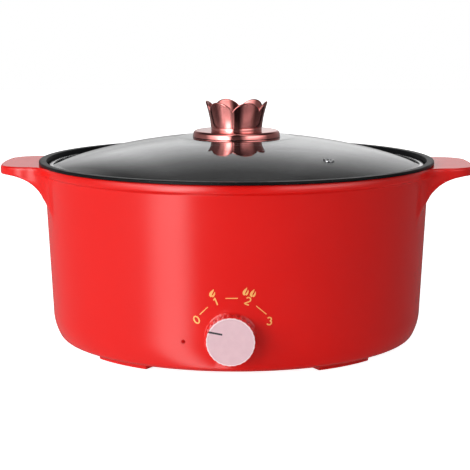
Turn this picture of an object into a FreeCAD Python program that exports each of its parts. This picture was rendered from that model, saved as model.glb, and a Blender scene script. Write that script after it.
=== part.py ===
import FreeCAD, Part
import math
import os
import Sketcher

# Electric hot pot with a loose glass lid, in millimetres.
# +Z is up, the control is on the -Y side, the grips point along X.
# The origin is on the table, under the centre of the pot.

DIMENSIONS = {
    # clearances used in many places
    "snug_play": 0.05,
    "press_play": 0.03,
    "hole_play": 0.1,
    "cut_margin": 10.0,
    # body heights above the table
    "base_height": 6.0,
    "body_height": 144.7,
    "rim_lip": 2.4,
    # inner pot
    "rim_radius": 161.0,
    "rim_chamfer": 0.8,
    "rim_width": 6.0,
    "ledge_depth": 7.2,
    "ledge_width": 6.0,
    "pot_taper": 3.0,
    "pot_corner": 22.0,
    "pot_wall": 2.0,
    "floor_space": 45.0,
    "pot_base_thickness": 3.0,
    # casing
    "rim_overhang": 1.0,
    "bead_height": 6.5,
    "bead_step": 1.4,
    "bead_depth": 3.3,
    "wall_taper": 5.6,
    "corner_height": 23.0,
    "corner_inset": 11.0,
    "corner_bottom_radius": 7.0,
    "casing_wall": 2.8,
    "base_seat": 2.9,
    "pot_gap": 0.4,
    # grips
    "grip_length": 31.0,
    "grip_half_width": 43.5,
    "grip_drop": 3.2,
    "grip_tip": 7.2,
    "grip_corner": 17.5,
    "grip_bow": 2.0,
    "grip_flare": 30.0,
    "grip_flare_angle": 55.0,
    "grip_tip_length": 22.0,
    "grip_under_radius": 35.8,
    "grip_under_length": 8.4,
    "grip_under_angle": 26.0,
    "grip_root_inset": 7.1,
    "grip_root_drop": 35.0,
    "grip_wall": 3.0,
    "grip_hollow_low": 30.0,
    "grip_hollow_high": 65.0,
    # control mound and knob
    "control_rise": 27.4,
    "mound_rise": 1.9,
    "mound_radius": 22.0,
    "mound_edge": 4.0,
    "mound_depth": 3.0,
    "mound_spread": 8.0,
    "mound_flare_depth": 6.2,
    "mound_root": 30.0,
    "mound_root_spread": 6.0,
    "mound_hollow": 20.0,
    "mound_round": 4.0,
    "mound_trim": 1.4,
    "knob_length": 12.0,
    "knob_radius": 18.0,
    "knob_skirt_step": 1.0,
    "knob_skirt_length": 1.7,
    "knob_skirt_slope": 0.6,
    "knob_wall": 2.4,
    "knob_chamfer": 0.8,
    "knob_gap": 0.3,
    "knob_ribs": 27.0,
    "knob_rib_depth": 0.5,
    "knob_rib_share": 0.8,
    "knob_boss_radius": 5.6,
    "face_disc_margin": 1.0,
    "face_disc_thickness": 0.8,
    "knob_web": 1.8,
    "pointer_width": 1.4,
    "pointer_length": 8.6,
    "pointer_depth": 0.5,
    "pointer_mid_x": 10.3,
    "pointer_mid_z": 6.5,
    "pointer_tilt": 10.5,
    # thermostat
    "spindle_radius": 3.0,
    "spindle_play": 0.06,
    "bush_radius": 5.0,
    "bush_play": 0.1,
    "bush_flange_radius": 7.0,
    "bush_flange_thickness": 1.5,
    "bush_reach": 3.2,
    "bush_end_gap": 0.8,
    "nut_across_corners": 16.2,
    "nut_thickness": 2.8,
    "seat_margin": 1.0,
    "seat_depth": 4.3,
    "housing_width": 34.0,
    "housing_height": 26.0,
    "housing_depth": 24.5,
    "housing_wall": 2.0,
    "housing_cover": 1.5,
    "cam_radius": 9.0,
    "cam_thickness": 3.0,
    "cam_gap": 4.0,
    "tab_width": 6.3,
    "tab_thickness": 0.8,
    "tab_length": 8.0,
    "tab_spacing": 20.0,
    # indicator lamp
    "lamp_drop": 3.7,
    "lamp_angle": 13.7,
    "lens_radius": 1.7,
    "lens_flange_radius": 2.6,
    "lens_proud": 0.6,
    "lens_flange": 1.0,
    "lens_play": 0.2,
    "lamp_radius": 3.2,
    "lamp_length": 9.0,
    # rear boss and appliance inlet
    "inlet_rise": 25.0,
    "boss_half_width": 26.0,
    "boss_half_height": 18.0,
    "boss_corner": 6.0,
    "boss_wall": 3.0,
    "inlet_flange_half_width": 23.0,
    "inlet_flange_half_height": 14.0,
    "inlet_flange": 2.0,
    "inlet_body_half_width": 15.0,
    "inlet_body_half_height": 11.0,
    "inlet_body_depth": 25.0,
    "inlet_fit": 0.2,
    "socket_half_width": 12.2,
    "socket_half_height": 8.4,
    "socket_depth": 16.0,
    "pin_width": 2.2,
    "pin_height": 4.4,
    "pin_spacing": 14.0,
    "pin_offset": 2.0,
    "pin_set_back": 4.0,
    "pin_length": 27.0,
    "inlet_screw_spacing": 37.0,
    "inlet_screw_radius": 1.5,
    "inlet_screw_head": 2.8,
    "inlet_screw_sink": 1.4,
    "inlet_screw_length": 8.0,
    # base cover and feet
    "cover_lip": 1.0,
    "cover_overlap": 1.4,
    "cover_thickness": 2.5,
    "cover_rim_width": 2.0,
    "cover_play": 0.3,
    "foot_height": 4.0,
    "foot_set_back": 2.0,
    "foot_length": 23.2,
    "foot_angle": 40.5,
    "foot_half_span": 11.0,
    "foot_draft": 16.0,
    "pad_set_back": 12.2,
    "pad_radius": 7.0,
    "pad_proud": 1.0,
    "pad_sunk": 1.2,
    "pad_play": 0.1,
    "vent_slot_inner": 34.0,
    "vent_slot_outer": 58.0,
    "vent_slot_half_width": 2.0,
    "vent_slots": 8.0,
    # studs that pull pot, casing and base cover together
    "stud_set_back": 51.0,
    "stud_radius": 2.5,
    "stud_tail": 1.0,
    "stud_play": 0.3,
    "spacer_radius": 5.0,
    "post_radius": 9.0,
    "post_height": 8.5,
    "post_roof": 2.0,
    "post_pocket_radius": 6.6,
    "washer_radius": 5.5,
    "washer_thickness": 1.0,
    "stud_nut_across_corners": 9.2,
    "stud_nut_thickness": 4.0,
    # heater
    "plate_margin": 15.0,
    "plate_thickness": 6.0,
    "element_set_back": 20.0,
    "element_radius": 3.5,
    "element_sunk": 1.5,
    "element_play": 0.1,
    "element_pin_radius": 2.5,
    "element_pin_spacing": 16.0,
    "element_pin_drop": 5.0,
    "shield_gap": 13.0,
    "shield_thickness": 0.8,
    "shield_margin": 1.5,
    "shield_rim": 6.0,
    "shield_opening": 38.0,
    "shield_slot_half_width": 18.0,
    "shield_slot_half_length": 8.0,
    "cutout_radius": 8.0,
    "cutout_height": 8.0,
    "cutout_flange_radius": 15.0,
    "cutout_flange": 1.5,
    "cutout_screw_ring": 12.0,
    "small_screw_radius": 1.5,
    "small_screw_head_radius": 2.8,
    "small_screw_head": 1.6,
    "small_screw_length": 4.0,
    "tap_relief": 0.5,
    "fuse_offset": 27.0,
    "fuse_radius": 2.5,
    "fuse_length": 20.0,
    "fuse_gap": 0.3,
    "clip_width": 8.0,
    "clip_thickness": 0.8,
    "clip_foot": 10.4,
    # terminal block and leads
    "block_margin": 12.5,
    "block_angle": 248.4,
    "block_length": 22.0,
    "block_width": 14.0,
    "block_height": 10.0,
    "block_pole": 5.0,
    "lead_radius": 1.4,
    "lamp_lead_radius": 0.7,
    "lead_tail": 10.0,
    "lead_bend_share": 0.45,
    "lead_drop": 8.0,
    "lead_rise": 4.5,
    "earth_tag_radius": 4.8,
    "earth_tag_thickness": 0.8,
    "earth_tag_reach": 16.0,
    "earth_tag_half_width": 3.0,
    # lid
    "band_play": 2.0,
    "band_sheet": 0.4,
    "band_lip": 3.7,
    "glass_thickness": 3.0,
    "glass_play": 0.1,
    "glass_flat": 4.0,
    "glass_dome_radius": 480.0,
    "glass_seat_radius": 44.0,
    "glass_hole": 6.6,
    "vent_x": 73.0,
    "vent_y": -81.0,
    "vent_flange_radius": 4.5,
    "vent_flange": 0.8,
    "vent_tube_radius": 3.0,
    "vent_bore": 1.6,
    "vent_play": 0.1,
    # lid knob
    "gasket_thickness": 1.0,
    "gasket_radius": 30.0,
    "gasket_inner": 8.0,
    "gasket_play": 0.3,
    "knob_base_radius": 34.75,
    "knob_base_lift": 0.25,
    "knob_base_edge": 2.4,
    "knob_base_rise": 0.6,
    "knob_base_table": 23.5,
    "knob_base_bore": 6.1,
    "crown_spigot": 6.0,
    "crown_spigot_length": 4.6,
    "crown_collar_radius": 20.7,
    "crown_collar_height": 2.3,
    "crown_foot_radius": 20.3,
    "crown_waist_radius": 21.0,
    "crown_neck_radius": 22.4,
    "crown_tip_radius": 24.9,
    "crown_crease": 0.94,
    "crown_height": 23.6,
    "crown_wall": 1.8,
    "crown_floor": 6.5,
    "crown_petals": 6.0,
    "crown_arch": 14.0,
    "crown_turn": -7.5,
    "crown_low_share": 0.38,
    "crown_high_share": 0.72,
    "crown_overrun": 1.0,
    "crown_bore_reach": 5.0,
    "knob_screw_radius": 2.5,
    "knob_screw_length": 13.5,
    "knob_screw_play": 0.2,
    "knob_screw_chamfer": 0.8,
    "knob_screw_head_radius": 4.5,
    "knob_screw_head": 3.0,
    "knob_seal_radius": 10.0,
    "knob_seal_thickness": 1.0,
    "knob_washer_radius": 9.0,
    "knob_washer_thickness": 1.0,
}


# An arc over half a circle is drawn with a radius this much over half its chord,
# so that the radius is never too short for it.
ROUND = 1.001


class Size:
    """A number together with the spreadsheet expression that gives it."""

    def __init__(self, value, text):
        self.value = value
        self.text = text

    def __add__(self, other):
        other = as_size(other)
        return Size(self.value + other.value, f"({self.text} + {other.text})")

    def __sub__(self, other):
        other = as_size(other)
        return Size(self.value - other.value, f"({self.text} - {other.text})")

    def __mul__(self, other):
        other = as_size(other)
        return Size(self.value * other.value, f"({self.text} * {other.text})")

    def __truediv__(self, other):
        other = as_size(other)
        return Size(self.value / other.value, f"({self.text} / {other.text})")

    def __neg__(self):
        return as_size(0.0) - self

    def __radd__(self, other):
        return as_size(other) + self

    def __rsub__(self, other):
        return as_size(other) - self

    def __rmul__(self, other):
        return as_size(other) * self


def as_size(number):
    """Wrap a plain number, so that it can stand in an expression."""
    if isinstance(number, Size):
        return number
    return Size(float(number), f"{float(number):.6f}")


def root(size):
    """Square root."""
    return Size(math.sqrt(size.value), f"sqrt({size.text})")


def cosine(degrees):
    """Cosine of an angle in degrees."""
    degrees = as_size(degrees)
    return Size(math.cos(math.radians(degrees.value)), f"cos({degrees.text} * 1 deg)")


def sine(degrees):
    """Sine of an angle in degrees."""
    degrees = as_size(degrees)
    return Size(math.sin(math.radians(degrees.value)), f"sin({degrees.text} * 1 deg)")


def arcsine(share):
    """Angle in degrees whose sine is a share."""
    return Size(math.degrees(math.asin(share.value)), f"asin({share.text})")


class Sheet:
    """The spreadsheet of driving dimensions; each alias reads back as a Size."""

    def __init__(self, document, dimensions):
        self.cells = document.addObject("Spreadsheet::Sheet", "Sizes")
        self.values = dimensions
        for row, (name, value) in enumerate(dimensions.items(), start=1):
            self.cells.set(f"A{row}", name)
            self.cells.set(f"B{row}", str(value))
            self.cells.setAlias(f"B{row}", name)

    def __getattr__(self, name):
        return Size(self.values[name], f"Sizes.{name}")


doc = FreeCAD.newDocument("hot_pot")
dim = Sheet(doc, DIMENSIONS)
doc.recompute()
parts = []


# ---------------------------------------------------------------- building blocks

def new_body(label, x=0.0, y=0.0, z=0.0, turn=0.0):
    """A PartDesign body that becomes one node, moved and turned about Z."""
    body = doc.addObject("PartDesign::Body", label)
    body.Label = label
    body.Placement.Rotation = FreeCAD.Rotation(FreeCAD.Vector(0, 0, 1), as_size(turn).value)
    for letter, size in zip("xyz", (x, y, z)):
        if as_size(size).value:
            body.setExpression(f"Placement.Base.{letter}", as_size(size).text)
    parts.append(body)
    return body


def new_sketch(body, role, offset=(0, 0, 0), swing=None):
    """A sketch on one of the body's own planes; offset is in the sketch's axes.
    The plane can be swung about the sketch's upright axis by an angle."""
    sketch = body.newObject("Sketcher::SketchObject", f"{body.Name}_sketch")
    plane = [item for item in body.Origin.OriginFeatures if item.Role == role][0]
    sketch.AttachmentSupport = [(plane, "")]
    sketch.MapMode = "FlatFace"
    if swing is not None:
        upright = FreeCAD.Rotation(FreeCAD.Vector(0, 1, 0), swing.value)
        sketch.AttachmentOffset = FreeCAD.Placement(FreeCAD.Vector(), upright)
        sketch.setExpression("AttachmentOffset.Rotation.Angle", swing.text)
    for letter, size in zip("xyz", offset):
        if as_size(size).value:
            sketch.setExpression(f"AttachmentOffset.Base.{letter}", as_size(size).text)
    return sketch


def hold(sketch, kind, place, size):
    """Add one constraint and bind it to the sheet."""
    size = as_size(size)
    index = sketch.addConstraint(Sketcher.Constraint(kind, *place, size.value))
    if "Sizes." in size.text:
        sketch.setExpression(f"Constraints[{index}]", size.text)


def draw_loop(sketch, corners):
    """Draw a closed loop. A corner is (x, y), or (x, y, radius) when the edge that
    arrives there is an arc: a positive radius turns left, a negative one right."""
    points = [(as_size(item[0]), as_size(item[1])) for item in corners]
    edges = []
    for number, corner in enumerate(corners):
        start, end = points[number - 1], points[number]
        first = FreeCAD.Vector(start[0].value, start[1].value, 0)
        last = FreeCAD.Vector(end[0].value, end[1].value, 0)
        if len(corner) == 2:
            index = sketch.addGeometry(Part.LineSegment(first, last))
            edges.append((index, 1, 2))
            continue
        radius = as_size(corner[2])
        left = radius.value > 0
        reach = abs(radius.value)
        chord = last - first
        side = FreeCAD.Vector(-chord.y, chord.x, 0).normalize()
        rise = math.sqrt(max(reach ** 2 - chord.Length ** 2 / 4, 0.0))
        centre = (first + last) * 0.5 + side * (rise if left else -rise)
        begin, finish = (first, last) if left else (last, first)
        low = math.atan2(begin.y - centre.y, begin.x - centre.x)
        high = math.atan2(finish.y - centre.y, finish.x - centre.x)
        circle = Part.Circle(centre, FreeCAD.Vector(0, 0, 1), reach)
        index = sketch.addGeometry(Part.ArcOfCircle(circle, low, high))
        edges.append((index, 1, 2) if left else (index, 2, 1))
        hold(sketch, "Radius", (index,), radius if left else -radius)
    for number, (index, start, end) in enumerate(edges):
        following = edges[(number + 1) % len(edges)]
        sketch.addConstraint(Sketcher.Constraint("Coincident", index, end, following[0], following[1]))
        hold(sketch, "DistanceX", (-1, 1, index, end), points[number][0])
        hold(sketch, "DistanceY", (-1, 1, index, end), points[number][1])


def draw_circle(sketch, x, y, radius):
    """Draw one circle."""
    x, y, radius = as_size(x), as_size(y), as_size(radius)
    centre = FreeCAD.Vector(x.value, y.value, 0)
    index = sketch.addGeometry(Part.Circle(centre, FreeCAD.Vector(0, 0, 1), radius.value))
    hold(sketch, "Radius", (index,), radius)
    hold(sketch, "DistanceX", (-1, 1, index, 3), x)
    hold(sketch, "DistanceY", (-1, 1, index, 3), y)


def draw_box(sketch, x, y, half_width, half_height):
    """Draw one upright rectangle about a centre."""
    left, right = as_size(x) - half_width, as_size(x) + half_width
    low, high = as_size(y) - half_height, as_size(y) + half_height
    draw_loop(sketch, [(left, low), (right, low), (right, high), (left, high)])


def draw_polygon(sketch, x, y, across_corners, sides=6):
    """Draw a regular polygon, such as a nut's hexagon."""
    corners = []
    for number in range(sides):
        angle = 360.0 / sides * number
        reach = as_size(across_corners) / 2
        corners.append((as_size(x) + reach * cosine(angle), as_size(y) + reach * sine(angle)))
    draw_loop(sketch, corners)


def turned(body, sketch, axis="V_Axis", cut=False, span=None):
    """Revolve a sketch, adding or cutting: a full turn, or a span to both sides."""
    kind = "Groove" if cut else "Revolution"
    feature = body.newObject(f"PartDesign::{kind}", f"{body.Name}_{kind.lower()}")
    feature.Profile = sketch
    feature.ReferenceAxis = (sketch, [axis])
    feature.Angle = 360
    if span is not None:
        feature.Midplane = True
        feature.setExpression("Angle", span.text)
    body.Tip = feature
    return feature


def extruded(body, sketch, length, cut=False, backwards=False, both=False):
    """Pad or pocket a sketch by a length."""
    kind = "Pocket" if cut else "Pad"
    feature = body.newObject(f"PartDesign::{kind}", f"{body.Name}_{kind.lower()}")
    feature.Profile = sketch
    length = as_size(length)
    feature.Length = length.value
    if "Sizes." in length.text:
        feature.setExpression("Length", length.text)
    feature.Reversed = backwards
    feature.Midplane = both
    body.Tip = feature
    return feature


def round_the_pot(count, radius, first=0.0):
    """Places on a circle, as pairs of sizes."""
    step = 360.0 / count
    return [(radius * cosine(first + step * number), radius * sine(first + step * number))
            for number in range(count)]


def discs(label, spots, radius, low, high, bore=None, z=0.0):
    """Round solids between two heights, one at each spot, with a bore if one is given."""
    body = new_body(label, z=z)
    sketch = new_sketch(body, "XY_Plane", (0, 0, low))
    for x, y in spots:
        draw_circle(sketch, x, y, radius)
        if bore is not None:
            draw_circle(sketch, x, y, bore)
    extruded(body, sketch, high - low)
    return body


def spun(label, corners, z=0.0, turn=0.0, axis="V_Axis", role="XZ_Plane"):
    """A body turned from one profile."""
    body = new_body(label, z=z, turn=turn)
    sketch = new_sketch(body, role)
    draw_loop(sketch, corners)
    turned(body, sketch, axis)
    return body


def shape_node(label, shape):
    """A node whose shape is made with Part's own functions."""
    node = doc.addObject("Part::Feature", label)
    node.Label = label
    node.Shape = shape
    parts.append(node)
    return node


# ---------------------------------------------------------------- sizes that follow from others

recess_radius = dim.rim_radius - dim.rim_width
bead_radius = dim.rim_radius - dim.rim_overhang
pot_top_radius = recess_radius - dim.ledge_width
pot_low_radius = pot_top_radius - dim.pot_taper
wall_top_radius = bead_radius - dim.bead_depth
wall_low_radius = wall_top_radius - dim.wall_taper
shoulder_radius = recess_radius + dim.pot_wall
base_opening = wall_low_radius - dim.corner_inset - dim.base_seat

rim_top = dim.base_height + dim.body_height
casing_top = rim_top - dim.rim_lip
bead_bottom = casing_top - dim.bead_height
ledge_height = rim_top - dim.ledge_depth
shoulder_bottom = ledge_height - dim.pot_wall
wall_low_height = dim.base_height + dim.corner_height
pot_floor = dim.base_height + dim.floor_space
pot_underside = pot_floor - dim.pot_base_thickness

grip_top = rim_top - dim.grip_drop
grip_reach = dim.rim_radius + dim.grip_length
grip_flare_start = grip_reach - dim.grip_tip_length
grip_under_start = grip_reach - dim.grip_under_length
grip_root = wall_low_radius - dim.grip_root_inset

control_height = dim.base_height + dim.control_rise
mound_face = wall_low_radius + dim.mound_rise
mound_shoulder = dim.mound_radius + dim.mound_edge
mound_flare = mound_shoulder + dim.mound_spread
mound_bottom = dim.base_height + dim.mound_trim
front_reach = mound_face + dim.knob_length
seat_face = mound_face - dim.seat_depth
seat_radius = dim.mound_radius + dim.seat_margin
knob_skirt_radius = dim.knob_radius + dim.knob_skirt_step
face_disc_radius = dim.knob_radius - dim.face_disc_margin
lamp_height = control_height - dim.lamp_drop
inlet_height = dim.base_height + dim.inlet_rise

cover_bottom = dim.base_height - dim.cover_lip
cover_top = cover_bottom + dim.cover_thickness
cover_flange_radius = base_opening + dim.cover_overlap
foot_outer_radius = base_opening - dim.foot_set_back
foot_inner_radius = foot_outer_radius - dim.foot_length
pad_ring_radius = foot_outer_radius - dim.pad_set_back
floor_of_foot = cover_bottom - dim.foot_height

stud_ring_radius = pot_low_radius - dim.stud_set_back
stud_spots = round_the_pot(3, stud_ring_radius, 90.0)
post_top = cover_top + dim.post_height
washer_top = post_top - dim.post_roof
nut_top = washer_top - dim.washer_thickness
nut_bottom = nut_top - dim.stud_nut_thickness

plate_radius = stud_ring_radius - dim.plate_margin
plate_bottom = pot_underside - dim.plate_thickness
element_ring_radius = plate_radius - dim.element_set_back
shield_radius = stud_ring_radius + dim.spacer_radius + dim.shield_margin
shield_height = plate_bottom - dim.shield_gap
shield_top = shield_height + dim.shield_thickness
element_pin_end = shield_height - dim.element_pin_drop
lead_floor = cover_top + dim.lead_rise
block_x = (shield_radius + dim.block_margin) * cosine(dim.block_angle)
block_y = (shield_radius + dim.block_margin) * sine(dim.block_angle)

band_radius = recess_radius - dim.band_play
glass_edge = ledge_height + dim.band_sheet
glass_edge_radius = band_radius - dim.band_sheet - dim.glass_play
glass_flat_radius = glass_edge_radius - dim.glass_flat


def dome_drop(radius):
    """How far the glass's upper face has fallen at a radius, below the dome's pole."""
    dome = dim.glass_dome_radius
    return dome - root(dome * dome - radius * radius)


glass_seat_height = (glass_edge + dim.glass_thickness + dome_drop(glass_flat_radius)
                     - dome_drop(dim.glass_seat_radius))
glass_under = glass_seat_height - dim.glass_thickness


# ---------------------------------------------------------------- casing

def corner_arcs(offset):
    """The two arcs that round the casing's bottom corner, moved inwards by a wall.
    Returns the flat arc's radius, the tight arc's radius and where they meet."""
    rise = wall_low_height - dim.base_height
    inset = dim.corner_inset
    tight = dim.corner_bottom_radius
    square = inset * inset + rise * rise
    flat = (square - 2 * rise * tight) / (2 * (inset - tight))
    tight_x = wall_low_radius - inset
    tight_z = dim.base_height + tight
    gap = flat - tight
    lean_x = (tight_x - (wall_low_radius - flat)) / gap
    lean_z = (tight_z - wall_low_height) / gap
    meet_x = tight_x + (tight - offset) * lean_x
    meet_z = tight_z + (tight - offset) * lean_z
    return flat - offset, tight - offset, meet_x, meet_z


def casing_outside():
    """Half section of the casing's outer form, closed on the axis."""
    flat, tight, meet_x, meet_z = corner_arcs(as_size(0))
    return [
        (0, dim.base_height),
        (wall_low_radius - dim.corner_inset, dim.base_height),
        (meet_x, meet_z, tight),
        (wall_low_radius, wall_low_height, flat),
        (wall_top_radius, bead_bottom - dim.bead_step),
        (bead_radius - dim.bead_step / 2, bead_bottom),
        (bead_radius, bead_bottom + dim.bead_step / 2),
        (bead_radius, casing_top),
        (0, casing_top),
    ]


def casing_inside():
    """Half section of everything that is cut away inside and below the casing."""
    wall = dim.casing_wall
    flat, tight, meet_x, meet_z = corner_arcs(wall)
    inner_top = wall_top_radius - wall
    shelf = shoulder_bottom - dim.pot_gap
    below = dim.base_height - mound_flare * 2
    clear = grip_reach + dim.cut_margin
    return [
        (0, below),
        (clear, below),
        (clear, dim.base_height),
        (base_opening, dim.base_height),
        (base_opening, dim.base_height + wall),
        (wall_low_radius - dim.corner_inset, dim.base_height + wall),
        (meet_x, meet_z, tight),
        (wall_low_radius - wall, wall_low_height, flat),
        (inner_top, shelf),
        (shoulder_radius + dim.pot_gap, shelf),
        (shoulder_radius + dim.pot_gap, casing_top + dim.cut_margin),
        (0, casing_top + dim.cut_margin),
    ]


def grip_outline(side):
    """Plan of one grip: bowed tip, rounded corners, flared root."""
    corner_x = grip_reach - dim.grip_bow
    corner_y = dim.grip_half_width - dim.grip_corner
    flare_x = grip_flare_start - dim.grip_flare * sine(dim.grip_flare_angle)
    flare_y = dim.grip_half_width + dim.grip_flare * (1 - cosine(dim.grip_flare_angle))
    inside = pot_top_radius / 2
    bow = (corner_y * corner_y + dim.grip_bow * dim.grip_bow) / (2 * dim.grip_bow)
    start_x = corner_x - dim.grip_corner
    if side > 0:
        return [
            (inside, -flare_y),
            (flare_x, -flare_y),
            (grip_flare_start, -dim.grip_half_width, -dim.grip_flare),
            (start_x, -dim.grip_half_width),
            (corner_x, -corner_y, dim.grip_corner),
            (corner_x, corner_y, bow),
            (start_x, dim.grip_half_width, dim.grip_corner),
            (grip_flare_start, dim.grip_half_width),
            (flare_x, flare_y, -dim.grip_flare),
            (inside, flare_y),
        ]
    return [
        (-inside, flare_y),
        (-flare_x, flare_y),
        (-grip_flare_start, dim.grip_half_width, -dim.grip_flare),
        (-start_x, dim.grip_half_width),
        (-corner_x, corner_y, dim.grip_corner),
        (-corner_x, -corner_y, bow),
        (-start_x, -dim.grip_half_width, dim.grip_corner),
        (-grip_flare_start, -dim.grip_half_width),
        (-flare_x, -flare_y, -dim.grip_flare),
        (-inside, -flare_y),
    ]


def grip_underside(side):
    """What is cut away below one grip, seen from the front."""
    under_x = grip_under_start
    under_z = grip_top - dim.grip_tip
    centre_z = under_z - dim.grip_under_radius
    end_x = under_x - dim.grip_under_radius * cosine(dim.grip_under_angle)
    end_z = centre_z + dim.grip_under_radius * sine(dim.grip_under_angle)
    root_z = grip_top - dim.grip_root_drop
    low = root_z - mound_flare
    out = grip_reach + dim.cut_margin
    bend = dim.grip_under_radius * side
    return [
        (grip_root * side, low),
        (out * side, low),
        (out * side, under_z),
        (under_x * side, under_z),
        (end_x * side, end_z, bend),
        (grip_root * side, root_z),
    ]


def grip_hollow(side):
    """The core taken out of one grip from inside the casing, seen from the front."""
    wall = dim.grip_wall
    under_x = grip_under_start
    centre_z = grip_top - dim.grip_tip - dim.grip_under_radius
    radius = dim.grip_under_radius + wall
    tip_x = under_x - radius * cosine(dim.grip_hollow_high)
    tip_z = centre_z + radius * sine(dim.grip_hollow_high)
    end_x = under_x - radius * cosine(dim.grip_hollow_low)
    end_z = centre_z + radius * sine(dim.grip_hollow_low)
    inside = wall_low_radius - dim.casing_wall
    return [
        (inside * side, end_z),
        (end_x * side, end_z),
        (tip_x * side, tip_z, -radius * side),
        (tip_x * side, grip_top - wall),
        (inside * side, grip_top - wall),
    ]


def make_outer_casing():
    """Moulded shell with grips, control mound and rear boss in one piece."""
    body = new_body("outer_casing")
    core = new_sketch(body, "XY_Plane", (0, 0, dim.base_height + dim.casing_wall))
    draw_circle(core, 0, 0, base_opening)
    extruded(body, core, casing_top - dim.base_height - dim.casing_wall * 2)

    mound = new_sketch(body, "YZ_Plane", (0, control_height, 0))
    inside = mound_face - dim.mound_root
    draw_loop(mound, [
        (-inside, 0),
        (-inside, mound_flare + dim.mound_root_spread),
        (-(mound_face - dim.mound_flare_depth), mound_flare),
        (-(mound_face - dim.mound_depth), mound_shoulder, -dim.mound_hollow),
        (-mound_face, dim.mound_radius, dim.mound_round),
        (-mound_face, 0),
    ])
    turned(body, mound, "H_Axis")

    grips = new_sketch(body, "XY_Plane", (0, 0, grip_top))
    for side in (1, -1):
        draw_loop(grips, grip_outline(side))
    extruded(body, grips, dim.grip_root_drop + dim.cut_margin, backwards=True)

    under = new_sketch(body, "XZ_Plane")
    for side in (1, -1):
        draw_loop(under, grip_underside(side))
    mound_cut = mound_flare * 2
    draw_box(under, 0, mound_bottom - mound_cut / 2, mound_cut, mound_cut / 2)
    extruded(body, under, (grip_reach + dim.cut_margin) * 2, cut=True, both=True)

    outside = new_sketch(body, "XZ_Plane")
    draw_loop(outside, casing_outside())
    turned(body, outside)

    boss = new_sketch(body, "XZ_Plane")
    half_width, half_height, corner = dim.boss_half_width, dim.boss_half_height, dim.boss_corner
    low, high = inlet_height - half_height, inlet_height + half_height
    draw_loop(boss, [
        (half_width - corner, low),
        (half_width, low + corner, corner),
        (half_width, high - corner),
        (half_width - corner, high, corner),
        (-half_width + corner, high),
        (-half_width, high - corner, corner),
        (-half_width, low + corner),
        (-half_width + corner, low, corner),
    ])
    extruded(body, boss, front_reach - dim.inlet_flange, backwards=True)

    cavity = new_sketch(body, "XZ_Plane")
    draw_loop(cavity, casing_inside())
    turned(body, cavity, cut=True)

    cores = new_sketch(body, "XZ_Plane")
    for side in (1, -1):
        draw_loop(cores, grip_hollow(side))
    extruded(body, cores, (dim.grip_half_width - dim.grip_wall) * 2, cut=True, both=True)

    seat = new_sketch(body, "XZ_Plane")
    draw_circle(seat, 0, control_height, seat_radius)
    extruded(body, seat, seat_face, cut=True, backwards=True)

    hole = new_sketch(body, "XZ_Plane")
    draw_circle(hole, 0, control_height, dim.bush_radius + dim.bush_play)
    extruded(body, hole, front_reach, cut=True, backwards=True)

    lamp_hole = new_sketch(body, "XZ_Plane", swing=360 - dim.lamp_angle)
    draw_circle(lamp_hole, 0, lamp_height, dim.lens_radius + dim.snug_play)
    extruded(body, lamp_hole, front_reach, cut=True, backwards=True)

    hollow = new_sketch(body, "XZ_Plane")
    draw_box(hollow, 0, inlet_height, half_width - dim.boss_wall, half_height - dim.boss_wall)
    extruded(body, hollow, front_reach - dim.inlet_flange - dim.boss_wall, cut=True)

    opening = new_sketch(body, "XZ_Plane")
    draw_box(opening, 0, inlet_height, dim.inlet_body_half_width + dim.inlet_fit,
             dim.inlet_body_half_height + dim.inlet_fit)
    for side in (1, -1):
        draw_circle(opening, dim.inlet_screw_spacing / 2 * side, inlet_height,
                    dim.inlet_screw_radius + dim.snug_play)
    extruded(body, opening, front_reach, cut=True)


def make_inner_pot():
    """Pressed aluminium pot with the rim that covers the casing and holds the lid."""
    wall = dim.pot_wall
    corner = dim.pot_corner
    low = pot_low_radius
    outer_corner = corner + wall
    spun("inner_pot", [
        (0, pot_underside),
        (low + wall - outer_corner, pot_underside),
        (low + wall, pot_underside + outer_corner, outer_corner),
        (pot_top_radius + wall, shoulder_bottom),
        (shoulder_radius, shoulder_bottom),
        (shoulder_radius, casing_top),
        (dim.rim_radius, casing_top),
        (dim.rim_radius, rim_top - dim.rim_chamfer),
        (dim.rim_radius - dim.rim_chamfer, rim_top),
        (recess_radius + dim.rim_chamfer, rim_top),
        (recess_radius, rim_top - dim.rim_chamfer),
        (recess_radius, ledge_height),
        (pot_top_radius, ledge_height),
        (low, pot_floor + corner),
        (low - corner, pot_floor, -corner),
        (0, pot_floor),
    ])


# ---------------------------------------------------------------- base

def foot_angles():
    """The middles of the four feet, in degrees from +X."""
    lean = dim.foot_angle
    return [270 + lean, 270 - lean, 90 + lean, 90 - lean]


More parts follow.
